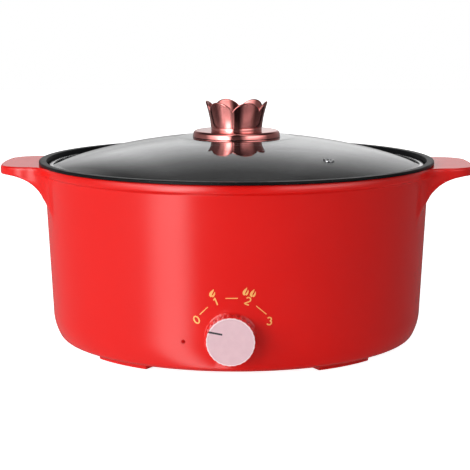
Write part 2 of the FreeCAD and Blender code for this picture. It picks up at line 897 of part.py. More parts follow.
def make_base_cover():
    """Plate that closes the bottom, with posts for the stud nuts and four moulded feet."""
    body = new_body("base_cover")
    spigot = base_opening - dim.cover_play
    top = dim.base_height + dim.cover_thickness
    section = new_sketch(body, "XZ_Plane")
    draw_loop(section, [
        (0, cover_bottom),
        (cover_flange_radius, cover_bottom),
        (cover_flange_radius, dim.base_height),
        (spigot, dim.base_height),
        (spigot, top),
        (spigot - dim.cover_rim_width, top),
        (spigot - dim.cover_rim_width, cover_top),
        (0, cover_top),
    ])
    turned(body, section)

    posts = new_sketch(body, "XY_Plane", (0, 0, cover_top))
    for x, y in stud_spots:
        draw_circle(posts, x, y, dim.post_radius)
    extruded(body, posts, post_top - cover_top)

    slope = dim.foot_height * sine(dim.foot_draft) / cosine(dim.foot_draft)
    for middle in foot_angles():
        foot = new_sketch(body, "XZ_Plane", swing=middle)
        draw_loop(foot, [
            (foot_inner_radius + slope, floor_of_foot),
            (foot_outer_radius - slope, floor_of_foot),
            (foot_outer_radius, cover_bottom),
            (foot_outer_radius, cover_bottom + 1),
            (foot_inner_radius, cover_bottom + 1),
            (foot_inner_radius, cover_bottom),
        ])
        turned(body, foot, span=dim.foot_half_span * 2)

    pads = new_sketch(body, "XY_Plane", (0, 0, floor_of_foot))
    for middle in foot_angles():
        draw_circle(pads, pad_ring_radius * cosine(middle), pad_ring_radius * sine(middle),
                    dim.pad_radius + dim.pad_play)
    extruded(body, pads, dim.pad_sunk, cut=True, backwards=True)

    pockets = new_sketch(body, "XY_Plane", (0, 0, cover_bottom))
    for x, y in stud_spots:
        draw_circle(pockets, x, y, dim.post_pocket_radius)
    extruded(body, pockets, washer_top - cover_bottom, cut=True, backwards=True)

    holes = new_sketch(body, "XY_Plane", (0, 0, cover_bottom))
    for x, y in stud_spots:
        draw_circle(holes, x, y, dim.stud_radius + dim.stud_play)
    extruded(body, holes, post_top, cut=True, backwards=True)

    slots = new_sketch(body, "XY_Plane", (0, 0, cover_bottom))
    half = dim.vent_slot_half_width
    draw_loop(slots, [
        (dim.vent_slot_outer, -half),
        (dim.vent_slot_outer, half, half * ROUND),
        (dim.vent_slot_inner, half),
        (dim.vent_slot_inner, -half, half * ROUND),
    ])
    cut = extruded(body, slots, dim.cover_thickness * 4, cut=True, both=True)
    ring = body.newObject("PartDesign::PolarPattern", "vent_slot_ring")
    ring.Originals = [cut]
    ring.Axis = ([item for item in body.Origin.OriginFeatures if item.Role == "Z_Axis"][0], [""])
    ring.Angle = 360
    ring.setExpression("Occurrences", dim.vent_slots.text)
    body.Tip = ring


def make_feet_and_studs():
    """Rubber pads, and the studs with what is threaded on them."""
    pad_spots = [(pad_ring_radius * cosine(angle), pad_ring_radius * sine(angle))
                 for angle in foot_angles()]
    discs("rubber_feet", pad_spots, dim.pad_radius, floor_of_foot - dim.pad_proud,
          floor_of_foot + dim.pad_sunk)
    discs("pot_studs", stud_spots, dim.stud_radius, nut_bottom - dim.stud_tail, pot_underside)
    bore = dim.stud_radius + dim.stud_play
    spacer_low = post_top + dim.earth_tag_thickness
    discs("lower_spacers", stud_spots, dim.spacer_radius, spacer_low, shield_height, bore)
    discs("lock_washers", stud_spots[1:], dim.earth_tag_radius, post_top, spacer_low, bore)
    discs("upper_spacers", stud_spots, dim.spacer_radius, shield_top, pot_underside, bore)
    discs("stud_washers", stud_spots, dim.washer_radius, nut_top, washer_top, bore)
    nuts = new_body("stud_nuts")
    sketch = new_sketch(nuts, "XY_Plane", (0, 0, nut_bottom))
    for x, y in stud_spots:
        draw_polygon(sketch, x, y, dim.stud_nut_across_corners)
        draw_circle(sketch, x, y, dim.stud_radius + dim.stud_play / 6)
    extruded(nuts, sketch, dim.stud_nut_thickness)


# ---------------------------------------------------------------- heater

def make_heater():
    """Cast plate under the pot, the tubular element in its groove, and the shield below."""
    element_height = plate_bottom - dim.element_sunk
    body = new_body("heating_plate")
    section = new_sketch(body, "XZ_Plane")
    draw_loop(section, [
        (0, plate_bottom), (plate_radius, plate_bottom),
        (plate_radius, pot_underside), (0, pot_underside),
    ])
    turned(body, section)
    groove = new_sketch(body, "XZ_Plane")
    draw_circle(groove, element_ring_radius, element_height, dim.element_radius + dim.element_play)
    turned(body, groove, cut=True)

    element = new_body("heating_element")
    ring = new_sketch(element, "XZ_Plane")
    draw_circle(ring, element_ring_radius, element_height, dim.element_radius)
    turned(element, ring)
    pins = new_sketch(element, "XY_Plane", (0, 0, element_pin_end))
    for side in (1, -1):
        draw_circle(pins, dim.element_pin_spacing / 2 * side, element_ring_radius,
                    dim.element_pin_radius)
    extruded(element, pins, element_height - element_pin_end)

    shield = new_body("heat_shield")
    dish = new_sketch(shield, "XZ_Plane")
    sheet = dim.shield_thickness
    draw_loop(dish, [
        (dim.shield_opening, shield_height),
        (shield_radius, shield_height),
        (shield_radius, shield_height + dim.shield_rim),
        (shield_radius - sheet, shield_height + dim.shield_rim),
        (shield_radius - sheet, shield_top),
        (dim.shield_opening, shield_top),
    ])
    turned(shield, dish)
    holes = new_sketch(shield, "XY_Plane", (0, 0, shield_height))
    for x, y in stud_spots:
        draw_circle(holes, x, y, dim.stud_radius + dim.stud_play)
    draw_box(holes, 0, element_ring_radius, dim.shield_slot_half_width,
             dim.shield_slot_half_length)
    extruded(shield, holes, sheet * 2, cut=True, backwards=True)


def make_cutout_and_fuse():
    """Safety cut-out at the plate's centre, and the thermal fuse in its clip beside it."""
    cutout = new_body("safety_cutout")
    section = new_sketch(cutout, "XZ_Plane")
    flange_low = plate_bottom - dim.cutout_flange
    draw_loop(section, [
        (0, flange_low - dim.cutout_height),
        (dim.cutout_radius, flange_low - dim.cutout_height),
        (dim.cutout_radius, flange_low),
        (dim.cutout_flange_radius, flange_low),
        (dim.cutout_flange_radius, plate_bottom),
        (0, plate_bottom),
    ])
    turned(cutout, section)
    holes = new_sketch(cutout, "XY_Plane", (0, 0, flange_low))
    for x, y in round_the_pot(2, dim.cutout_screw_ring):
        draw_circle(holes, x, y, dim.small_screw_radius + dim.hole_play)
    extruded(cutout, holes, dim.cutout_flange, cut=True, backwards=True)

    fuse_z = plate_bottom - dim.fuse_gap - dim.fuse_radius
    fuse = new_body("thermal_fuse", y=-dim.fuse_offset, z=fuse_z)
    rod = new_sketch(fuse, "YZ_Plane")
    draw_circle(rod, 0, 0, dim.fuse_radius)
    extruded(fuse, rod, dim.fuse_length, both=True)

    clip = new_body("fuse_clip", y=-dim.fuse_offset, z=fuse_z)
    strap = new_sketch(clip, "YZ_Plane")
    inner = dim.fuse_radius + dim.fuse_gap
    outer = inner + dim.clip_thickness
    top = dim.fuse_radius + dim.fuse_gap
    foot_low = top - dim.clip_thickness
    draw_loop(strap, [
        (outer, foot_low),
        (outer, 0),
        (-outer, 0, -outer * ROUND),
        (-outer, top),
        (-inner, top),
        (-inner, 0),
        (inner, 0, inner * ROUND),
        (inner, top),
        (dim.clip_foot, top),
        (dim.clip_foot, foot_low),
    ])
    extruded(clip, strap, dim.clip_width, both=True)
    hole = new_sketch(clip, "XY_Plane")
    clip_screw_y = (outer + dim.clip_foot) / 2
    draw_circle(hole, 0, clip_screw_y, dim.small_screw_radius + dim.hole_play)
    extruded(clip, hole, dim.clip_foot, cut=True, both=True)

    plate = [part for part in parts if part.Label == "heating_plate"][0]
    taps = new_sketch(plate, "XY_Plane", (0, 0, plate_bottom))
    screw_spots = round_the_pot(2, dim.cutout_screw_ring)
    clip_spot = (as_size(0), clip_screw_y - dim.fuse_offset)
    for x, y in screw_spots + [clip_spot]:
        draw_circle(taps, x, y, dim.small_screw_radius + dim.snug_play)
    extruded(plate, taps, dim.small_screw_length + dim.tap_relief, cut=True, backwards=True)
    small_screws("cutout_screws", screw_spots, flange_low)
    small_screws("fuse_clip_screw", [clip_spot], plate_bottom - dim.clip_thickness)


def small_screws(label, spots, seat):
    """Pan-head screws that go up into the heating plate from a seat height."""
    body = new_body(label)
    heads = new_sketch(body, "XY_Plane", (0, 0, seat - dim.small_screw_head))
    shanks = new_sketch(body, "XY_Plane", (0, 0, seat))
    for x, y in spots:
        draw_circle(heads, x, y, dim.small_screw_head_radius)
        draw_circle(shanks, x, y, dim.small_screw_radius)
    extruded(body, heads, dim.small_screw_head)
    extruded(body, shanks, plate_bottom + dim.small_screw_length - seat)


# ---------------------------------------------------------------- thermostat and control

def make_thermostat():
    """Rotary thermostat on the inner face of the front wall, fixed by a nut under the knob."""
    height = control_height
    half_width, half_height = dim.housing_width / 2, dim.housing_height / 2
    wall = dim.housing_wall
    housing = new_body("thermostat_housing", z=height)
    block = new_sketch(housing, "XZ_Plane", (0, 0, seat_face))
    draw_box(block, 0, 0, half_width, half_height)
    extruded(housing, block, dim.housing_depth, backwards=True)
    room = new_sketch(housing, "XZ_Plane", (0, 0, seat_face - wall))
    draw_box(room, 0, 0, half_width - wall, half_height - wall)
    extruded(housing, room, dim.housing_depth, cut=True)
    hole = new_sketch(housing, "XZ_Plane", (0, 0, seat_face))
    draw_circle(hole, 0, 0, dim.bush_radius + dim.bush_play)
    extruded(housing, hole, wall, cut=True)

    back = seat_face - dim.housing_depth
    cover = new_body("thermostat_cover", z=height)
    plate = new_sketch(cover, "XZ_Plane", (0, 0, back))
    draw_box(plate, 0, 0, half_width, half_height)
    for side in (1, -1):
        draw_box(plate, dim.tab_spacing / 2 * side, 0, dim.tab_thickness / 2, dim.tab_width / 2)
    extruded(cover, plate, dim.housing_cover, backwards=True)

    tabs = new_body("thermostat_terminals", z=height)
    blades = new_sketch(tabs, "XZ_Plane", (0, 0, back))
    for side in (1, -1):
        draw_box(blades, dim.tab_spacing / 2 * side, 0, dim.tab_thickness / 2, dim.tab_width / 2)
    extruded(tabs, blades, dim.housing_cover + dim.tab_length, backwards=True)

    bore = dim.spindle_radius + dim.spindle_play
    flange_face = seat_face - wall
    spun("thermostat_bush", [
        (-(flange_face - dim.bush_flange_thickness), bore),
        (-(flange_face - dim.bush_flange_thickness), dim.bush_flange_radius),
        (-flange_face, dim.bush_flange_radius),
        (-flange_face, dim.bush_radius),
        (-(mound_face + dim.bush_reach), dim.bush_radius),
        (-(mound_face + dim.bush_reach), bore),
    ], z=height, axis="H_Axis", role="YZ_Plane")

    nut = new_body("thermostat_nut", z=height)
    hexagon = new_sketch(nut, "XZ_Plane", (0, 0, mound_face))
    draw_polygon(hexagon, 0, 0, dim.nut_across_corners)
    draw_circle(hexagon, 0, 0, dim.bush_radius + dim.bush_play / 2)
    extruded(nut, hexagon, dim.nut_thickness)


def make_spindle():
    """Spindle and the cam that it turns inside the thermostat's housing."""
    cam_face = seat_face - dim.housing_wall - dim.bush_flange_thickness - dim.cam_gap
    cam_back = cam_face - dim.cam_thickness
    end = front_reach - dim.face_disc_thickness - dim.knob_web - dim.hole_play
    spun("thermostat_spindle", [
        (-(cam_back - 1), 0),
        (-(cam_back - 1), dim.spindle_radius),
        (-end, dim.spindle_radius),
        (-end, 0),
    ], z=control_height, axis="H_Axis", role="YZ_Plane")
    spun("thermostat_cam", [
        (-cam_back, dim.spindle_radius + dim.press_play),
        (-cam_back, dim.cam_radius),
        (-cam_face, dim.cam_radius),
        (-cam_face, dim.spindle_radius + dim.press_play),
    ], z=control_height, axis="H_Axis", role="YZ_Plane")


def make_control_knob():
    """Ribbed knob on the spindle, its face disc and the pointer let into the disc."""
    skirt = mound_face + dim.knob_gap
    face = front_reach
    recess = face - dim.face_disc_thickness
    web = recess - dim.knob_web
    boss_end = mound_face + dim.bush_reach + dim.bush_end_gap
    radius = dim.knob_radius
    hollow = radius - dim.knob_wall
    knob = new_body("control_knob", z=control_height)
    section = new_sketch(knob, "YZ_Plane")
    draw_loop(section, [
        (-skirt, hollow),
        (-skirt, knob_skirt_radius),
        (-(skirt + dim.knob_skirt_length), knob_skirt_radius),
        (-(skirt + dim.knob_skirt_length + dim.knob_skirt_slope), radius),
        (-(face - dim.knob_chamfer), radius),
        (-face, radius - dim.knob_chamfer),
        (-face, face_disc_radius),
        (-recess, face_disc_radius),
        (-recess, 0),
        (-web, 0),
        (-web, dim.spindle_radius + dim.press_play),
        (-boss_end, dim.spindle_radius + dim.press_play),
        (-boss_end, dim.knob_boss_radius),
        (-web, dim.knob_boss_radius),
        (-web, hollow),
    ])
    turned(knob, section, "H_Axis")
    notch = new_sketch(knob, "XZ_Plane", (0, 0, skirt + dim.knob_skirt_length))
    half = radius * sine(180.0 / dim.knob_ribs.value) * dim.knob_rib_share
    draw_loop(notch, [
        (-half, radius + dim.knob_rib_depth),
        (0, radius - dim.knob_rib_depth),
        (half, radius + dim.knob_rib_depth),
    ])
    cut = extruded(knob, notch, face - skirt, cut=True, backwards=True)
    ring = knob.newObject("PartDesign::PolarPattern", "knob_rib_ring")
    ring.Originals = [cut]
    ring.Axis = ([item for item in knob.Origin.OriginFeatures if item.Role == "Y_Axis"][0], [""])
    ring.Angle = 360
    ring.setExpression("Occurrences", dim.knob_ribs.text)
    knob.Tip = ring

    disc = new_body("knob_face_disc", z=control_height)
    round_face = new_sketch(disc, "XZ_Plane", (0, 0, recess))
    draw_circle(round_face, 0, 0, face_disc_radius - dim.snug_play)
    extruded(disc, round_face, dim.face_disc_thickness)
    slot = new_sketch(disc, "XZ_Plane", (0, 0, face))
    draw_pointer(slot)
    extruded(disc, slot, dim.pointer_depth, cut=True)

    pointer = new_body("knob_pointer", z=control_height)
    line = new_sketch(pointer, "XZ_Plane", (0, 0, face - dim.pointer_depth))
    draw_pointer(line)
    extruded(pointer, line, dim.pointer_depth)


def draw_pointer(sketch):
    """The pointer's bar, which slopes a little off the radius."""
    along = (dim.pointer_length / 2 * cosine(dim.pointer_tilt),
             -(dim.pointer_length / 2 * sine(dim.pointer_tilt)))
    across = (dim.pointer_width / 2 * sine(dim.pointer_tilt),
              dim.pointer_width / 2 * cosine(dim.pointer_tilt))
    x, y = -dim.pointer_mid_x, dim.pointer_mid_z
    draw_loop(sketch, [
        (x - along[0] - across[0], y - along[1] - across[1]),
        (x + along[0] - across[0], y + along[1] - across[1]),
        (x + along[0] + across[0], y + along[1] + across[1]),
        (x - along[0] + across[0], y - along[1] + across[1]),
    ])


def lens_back():
    """How far from the axis the back of the lens is; its flange is behind the wall."""
    return wall_low_radius - dim.casing_wall - dim.lens_play - dim.lens_flange


def make_indicator():
    """Red lens in the wall beside the mound, and the lamp behind it."""
    outside = wall_low_radius
    shoulder = lens_back() + dim.lens_flange
    back = lens_back()
    dome = (dim.lens_radius * dim.lens_radius + dim.lens_proud * dim.lens_proud) / (2 * dim.lens_proud)
    turn = -dim.lamp_angle
    spun("indicator_lens", [
        (-back, 0),
        (-back, dim.lens_flange_radius),
        (-shoulder, dim.lens_flange_radius),
        (-shoulder, dim.lens_radius),
        (-outside, dim.lens_radius),
        (-(outside + dim.lens_proud), 0, dome),
    ], z=lamp_height, turn=turn, axis="H_Axis", role="YZ_Plane")
    spun("indicator_lamp", [
        (-(back - dim.lamp_length), 0),
        (-(back - dim.lamp_length), dim.lamp_radius),
        (-back, dim.lamp_radius),
        (-back, 0),
    ], z=lamp_height, turn=turn, axis="H_Axis", role="YZ_Plane")


# ---------------------------------------------------------------- inlet and wiring

def pin_places():
    """Live, neutral and earth pins, as places seen from the front."""
    half = dim.pin_spacing / 2
    return [(half, -dim.pin_offset), (-half, -dim.pin_offset), (as_size(0), dim.pin_offset)]


def make_inlet():
    """Appliance inlet in the rear boss, with three blades and two screws."""
    face = front_reach
    boss_face = face - dim.inlet_flange
    body = new_body("appliance_inlet", z=inlet_height)
    flange = new_sketch(body, "XZ_Plane", (0, 0, -boss_face))
    draw_box(flange, 0, 0, dim.inlet_flange_half_width, dim.inlet_flange_half_height)
    extruded(body, flange, dim.inlet_flange, backwards=True)
    stem = new_sketch(body, "XZ_Plane", (0, 0, -boss_face))
    draw_box(stem, 0, 0, dim.inlet_body_half_width, dim.inlet_body_half_height)
    extruded(body, stem, dim.inlet_body_depth - dim.inlet_flange)
    socket = new_sketch(body, "XZ_Plane", (0, 0, -face))
    draw_box(socket, 0, 0, dim.socket_half_width, dim.socket_half_height)
    extruded(body, socket, dim.socket_depth, cut=True, backwards=True)
    slots = new_sketch(body, "XZ_Plane", (0, 0, -face))
    for x, z in pin_places():
        draw_box(slots, x, z, dim.pin_width / 2, dim.pin_height / 2)
    extruded(body, slots, dim.inlet_body_depth * 2, cut=True, backwards=True)
    holes = new_sketch(body, "XZ_Plane", (0, 0, -face))
    for side in (1, -1):
        draw_circle(holes, dim.inlet_screw_spacing / 2 * side, 0, dim.inlet_screw_radius + dim.hole_play)
    extruded(body, holes, dim.inlet_flange, cut=True, backwards=True)
    for side in (1, -1):
        cone = new_sketch(body, "XZ_Plane", (0, 0, -face))
        draw_circle(cone, dim.inlet_screw_spacing / 2 * side, 0, dim.inlet_screw_head + dim.hole_play)
        extruded(body, cone, dim.inlet_screw_sink, cut=True, backwards=True)

    pins = new_body("inlet_pins", z=inlet_height)
    blades = new_sketch(pins, "XZ_Plane", (0, 0, -(face - dim.pin_set_back)))
    for x, z in pin_places():
        draw_box(blades, x, z, dim.pin_width / 2, dim.pin_height / 2)
    extruded(pins, blades, dim.pin_length)

    screws = new_body("inlet_screws", z=inlet_height)
    heads = new_sketch(screws, "XZ_Plane", (0, 0, -face))
    shanks = new_sketch(screws, "XZ_Plane", (0, 0, -face))
    for side in (1, -1):
        draw_circle(heads, dim.inlet_screw_spacing / 2 * side, 0, dim.inlet_screw_head)
        draw_circle(shanks, dim.inlet_screw_spacing / 2 * side, 0, dim.inlet_screw_radius)
    extruded(screws, heads, dim.inlet_screw_sink)
    extruded(screws, shanks, dim.inlet_screw_length)


def lead(label, routes, radius):
    """Insulated leads: each route is straight runs joined by tangent arcs."""
    solids = []
    for route in routes:
        points = [FreeCAD.Vector(*[as_size(size).value for size in point]) for point in route]
        edges = []
        start = points[0]
        for number in range(1, len(points) - 1):
            corner = points[number]
            arriving = (corner - points[number - 1]).normalize()
            leaving = (points[number + 1] - corner).normalize()
            turn = arriving.getAngle(leaving)
            run = min((corner - points[number - 1]).Length, (points[number + 1] - corner).Length)
            back = dim.lead_bend_share.value * run
            bend = back / math.tan(turn / 2)
            enter = corner - arriving * back
            leave = corner + leaving * back
            toward = (leaving - arriving).normalize()
            middle = corner + toward * (bend / math.cos(turn / 2) - bend)
            edges.append(Part.LineSegment(start, enter).toShape())
            edges.append(Part.Arc(enter, middle, leave).toShape())
            start = leave
        edges.append(Part.LineSegment(start, points[-1]).toShape())
        path = Part.Wire(edges)
        section = Part.Wire(Part.makeCircle(radius.value, points[0], points[1] - points[0]))
        solids.append(path.makePipeShell([section], True, False))
    shape_node(label, solids[0] if len(solids) == 1 else Part.makeCompound(solids))


def around(share, angle, height):
    """A point at a share of the studs' circle, an angle from +X and a height."""
    reach = stud_ring_radius * share
    return (reach * cosine(angle), reach * sine(angle), height)


def make_wiring():
    """Leads between inlet, thermostat, terminal block, fuse, heater, lamp and earth stud."""
    low = lead_floor
    tail = dim.lead_tail
    pin_end = front_reach - dim.pin_set_back - dim.pin_length
    pin_z = inlet_height - dim.pin_offset
    pin_x = dim.pin_spacing / 2
    tab_x = dim.tab_spacing / 2
    tab_y = -(seat_face - dim.housing_depth - dim.housing_cover - dim.tab_length)
    tab_z = control_height
    drop_y = tab_y + dim.lead_drop
    heater_x = dim.element_pin_spacing / 2
    heater_y = element_ring_radius
    heater_z = element_pin_end
    fuse_x = dim.fuse_length / 2
    fuse_z = plate_bottom - dim.fuse_gap - dim.fuse_radius
    block_back = block_y + dim.block_width / 2
    block_side = block_x + dim.block_length / 2
    block_z = cover_top + dim.block_height / 2
    pole = dim.block_pole
    lead("live_lead", [[
        (pin_x, pin_end, pin_z),
        (pin_x, pin_end - tail, pin_z),
        around(1.03, 66, low),
        around(0.69, 27, low),
        around(0.69, -27, low),
        around(0.95, -71, low),
        (tab_x, drop_y, low + dim.lead_radius * 2),
        (tab_x, drop_y, tab_z),
        (tab_x, tab_y, tab_z),
    ]], dim.lead_radius)
    lead("switched_lead", [[
        (-tab_x, tab_y, tab_z),
        (-tab_x, drop_y, tab_z),
        (-tab_x, drop_y, block_z),
        (block_side, drop_y, block_z),
    ]], dim.lead_radius)
    lead("fuse_feed_lead", [[
        (block_x + pole, block_back, block_z),
        (block_x + pole, block_back + tail, block_z),
        around(0.67, 252, block_z),
        (-fuse_x - tail, -dim.fuse_offset, block_z),
        (-fuse_x - tail, -dim.fuse_offset, fuse_z),
        (-fuse_x, -dim.fuse_offset, fuse_z),
    ]], dim.lead_radius)
    lead("fuse_lead", [[
        (fuse_x, -dim.fuse_offset, fuse_z),
        (fuse_x + tail, -dim.fuse_offset, fuse_z),
        (fuse_x + tail, -dim.fuse_offset, low),
        around(0.3, 45, low),
        (heater_x, heater_y, low),
        (heater_x, heater_y, heater_z),
    ]], dim.lead_radius)
    lead("element_return_lead", [[
        (-heater_x, heater_y, heater_z),
        (-heater_x, heater_y, low),
        around(0.38, 146, low),
        around(0.55, 230, low),
        (block_x, block_back + tail, block_z),
        (block_x, block_back, block_z),
    ]], dim.lead_radius)
    lead("neutral_lead", [[
        (-pin_x, pin_end, pin_z),
        (-pin_x, pin_end - tail, pin_z),
        around(1.01, 111, low),
        around(0.71, 153, low),
        around(0.72, 206, low),
        (block_x - pole, block_back + tail, block_z),
        (block_x - pole, block_back, block_z),
    ]], dim.lead_radius)
    tag_end = stud_spots[0][1] + dim.earth_tag_reach
    tag_z = post_top + dim.earth_tag_thickness / 2
    earth_z = inlet_height + dim.pin_offset
    lead("earth_lead", [[
        (0, pin_end, earth_z),
        (0, pin_end - tail / 2, earth_z),
        (0, tag_end + tail, tag_z),
        (0, tag_end, tag_z),
    ]], dim.lead_radius)
    lamp_leads(cover_top + dim.block_height)


def lamp_leads(block_top):
    """Two thin leads from the lamp's back to the top of the terminal block."""
    back = lens_back() - dim.lamp_length
    across = (cosine(dim.lamp_angle), -sine(dim.lamp_angle))
    inwards = (sine(dim.lamp_angle), cosine(dim.lamp_angle))
    routes = []
    for side in (-1, 1):
        offset = dim.lamp_lead_radius * 2 * side
        x = across[0] * offset - inwards[0] * back
        y = across[1] * offset - inwards[1] * back
        end_x = block_x + side * 2 * dim.lamp_lead_radius * 2
        routes.append([
            (x, y, lamp_height),
            (x + inwards[0] * dim.lead_tail, y + inwards[1] * dim.lead_tail, lamp_height),
            (end_x, block_y, lamp_height - dim.lamp_lead_radius * 2),
            (end_x, block_y, block_top),
        ])
    lead("lamp_leads", routes, dim.lamp_lead_radius)


def make_terminals():
    """Terminal block on the base cover, and the earth tag round one stud."""
    block = new_body("terminal_block", x=block_x, y=block_y)
    form = new_sketch(block, "XY_Plane", (0, 0, cover_top))
    draw_box(form, 0, 0, dim.block_length / 2, dim.block_width / 2)
    extruded(block, form, dim.block_height)

    stud_x, stud_y = stud_spots[0]
    tag = new_body("earth_tag", y=stud_y)
    arm = new_sketch(tag, "XY_Plane", (0, 0, post_top))
    draw_box(arm, 0, dim.earth_tag_reach / 2, dim.earth_tag_half_width, dim.earth_tag_reach / 2)
    extruded(tag, arm, dim.earth_tag_thickness)
    ring = new_sketch(tag, "XY_Plane", (0, 0, post_top))
    draw_circle(ring, 0, 0, dim.earth_tag_radius)
    extruded(tag, ring, dim.earth_tag_thickness)
    hole = new_sketch(tag, "XY_Plane", (0, 0, post_top))
    draw_circle(hole, 0, 0, dim.stud_radius + dim.stud_play)
    extruded(tag, hole, dim.earth_tag_thickness, cut=True, backwards=True)


# ---------------------------------------------------------------- lid

def vent_reach():
    """How far the vent is from the lid's axis."""
    return root(dim.vent_x * dim.vent_x + dim.vent_y * dim.vent_y)


def tilt_to_glass(item, name):
    """Move and tilt a body or a sketch to the vent's place, square to the glass."""
    reach = vent_reach()
    lean = arcsine(reach / dim.glass_dome_radius)
    height = glass_seat_height + dome_drop(dim.glass_seat_radius) - dome_drop(reach)
    axis = FreeCAD.Vector(-dim.vent_y.value, dim.vent_x.value, 0)
    setattr(item, name, FreeCAD.Placement(FreeCAD.Vector(), FreeCAD.Rotation(axis, lean.value)))
    for letter, size in zip("xyz", (dim.vent_x, dim.vent_y, height)):
        item.setExpression(f"{name}.Base.{letter}", size.text)
    item.setExpression(f"{name}.Rotation.Angle", lean.text)


def make_lid_glass():
    """Domed glass with a flat seat for the knob, a flat edge for the band and a vent hole."""
    edge_top = glass_edge + dim.glass_thickness
    flat = glass_flat_radius
    seat = dim.glass_seat_radius
    dome = dim.glass_dome_radius
    thick = dim.glass_thickness
    body = new_body("lid_glass")
    section = new_sketch(body, "XZ_Plane")
    draw_loop(section, [
        (dim.glass_hole, glass_under),
        (seat, glass_under),
        (flat, glass_edge, -(dome - thick)),
        (glass_edge_radius, glass_edge),
        (glass_edge_radius, edge_top),
        (flat, edge_top),
        (seat, glass_seat_height, dome),
        (dim.glass_hole, glass_seat_height),
    ])
    turned(body, section)
    hole = new_sketch(body, "XY_Plane")
    tilt_to_glass(hole, "AttachmentOffset")
    draw_circle(hole, 0, 0, dim.vent_tube_radius + dim.vent_play)
    extruded(body, hole, dim.glass_thickness * 4, cut=True, both=True)


def make_lid_band():
    """Rolled steel channel round the edge of the glass."""
    sheet = dim.band_sheet
    bottom = ledge_height
    top = glass_edge + dim.glass_thickness + sheet
    radius = band_radius
    lip = radius - dim.band_lip
    spun("lid_rim_band", [
        (lip, bottom),
        (radius, bottom),
        (radius, top),
        (lip, top),
        (lip, top - sheet),
        (radius - sheet, top - sheet),
        (radius - sheet, bottom + sheet),
        (lip, bottom + sheet),
    ])


def make_steam_vent():
    """Steel eyelet, flanged on both faces of the glass."""
    body = new_body("steam_vent")
    tilt_to_glass(body, "Placement")
    section = new_sketch(body, "XZ_Plane")
    flange, sheet = dim.vent_flange_radius, dim.vent_flange
    tube = dim.vent_tube_radius
    low = -dim.glass_thickness - dim.hole_play
    seat = dim.snug_play
    draw_loop(section, [
        (dim.vent_bore, low - sheet),
        (flange, low - sheet),
        (flange, low),
        (tube, low),
        (tube, seat),
        (flange, seat),
        (flange - sheet, seat + sheet, sheet * ROUND),
        (dim.vent_bore + sheet / 2, seat + sheet),
        (dim.vent_bore, seat + sheet / 2),
    ])
    turned(body, section)


def make_lid_knob():
    """Plated flange and crown on the lid, clamped from below by one screw."""
    seat = glass_seat_height
    gasket_top = seat + dim.gasket_thickness
    bottom = seat + dim.knob_base_lift
    edge = dim.knob_base_edge
    shoulder = bottom + edge * 2
    table = shoulder + dim.knob_base_rise
    radius = dim.knob_base_radius
    spun("lid_knob_gasket", [
        (dim.gasket_inner, seat), (dim.gasket_radius, seat),
        (dim.gasket_radius, gasket_top), (dim.gasket_inner, gasket_top),
    ])
    spun("lid_knob_base", [
        (dim.knob_base_bore, gasket_top),
        (dim.gasket_radius + dim.gasket_play, gasket_top),
        (dim.gasket_radius + dim.gasket_play, bottom),
        (radius - edge, bottom),
        (radius, bottom + edge, edge * ROUND),
        (radius - edge, shoulder, edge * ROUND),
        (dim.knob_base_table, table),
        (dim.knob_base_bore, table),
    ])
    make_crown(table)
    seal_low = glass_under - dim.knob_seal_thickness
    washer_low = seal_low - dim.knob_washer_thickness
    clear = dim.knob_screw_radius + dim.knob_screw_play
    spun("lid_knob_seal", [
        (clear, seal_low), (dim.knob_seal_radius, seal_low),
        (dim.knob_seal_radius, glass_under), (clear, glass_under),
    ])
    spun("lid_knob_washer", [
        (clear, washer_low), (dim.knob_washer_radius, washer_low),
        (dim.knob_washer_radius, seal_low), (clear, seal_low),
    ])
    head_low = washer_low - dim.knob_screw_head
    spun("lid_knob_screw", [
        (0, head_low),
        (dim.knob_screw_head_radius - dim.knob_screw_chamfer, head_low),
        (dim.knob_screw_head_radius, head_low + dim.knob_screw_chamfer),
        (dim.knob_screw_head_radius, washer_low),
        (dim.knob_screw_radius, washer_low),
        (dim.knob_screw_radius, washer_low + dim.knob_screw_length),
        (0, washer_low + dim.knob_screw_length),
    ])


def petal_wire(radius, crease, height):
    """One level of the crown: an arc for each petal, with a crease between petals."""
    petals = int(dim.crown_petals.value)
    turn = math.radians(dim.crown_turn.value)
    step = 2 * math.pi / petals
    edges = []
    for number in range(petals):
        angles = [turn + step * (number + share) for share in (0, 0.5, 1)]
        reach = [crease, radius, crease]
        spots = [FreeCAD.Vector(far * math.sin(angle), -far * math.cos(angle), height)
                 for far, angle in zip(reach, angles)]
        edges.append(Part.Arc(*spots).toShape())
    return Part.Wire(edges)


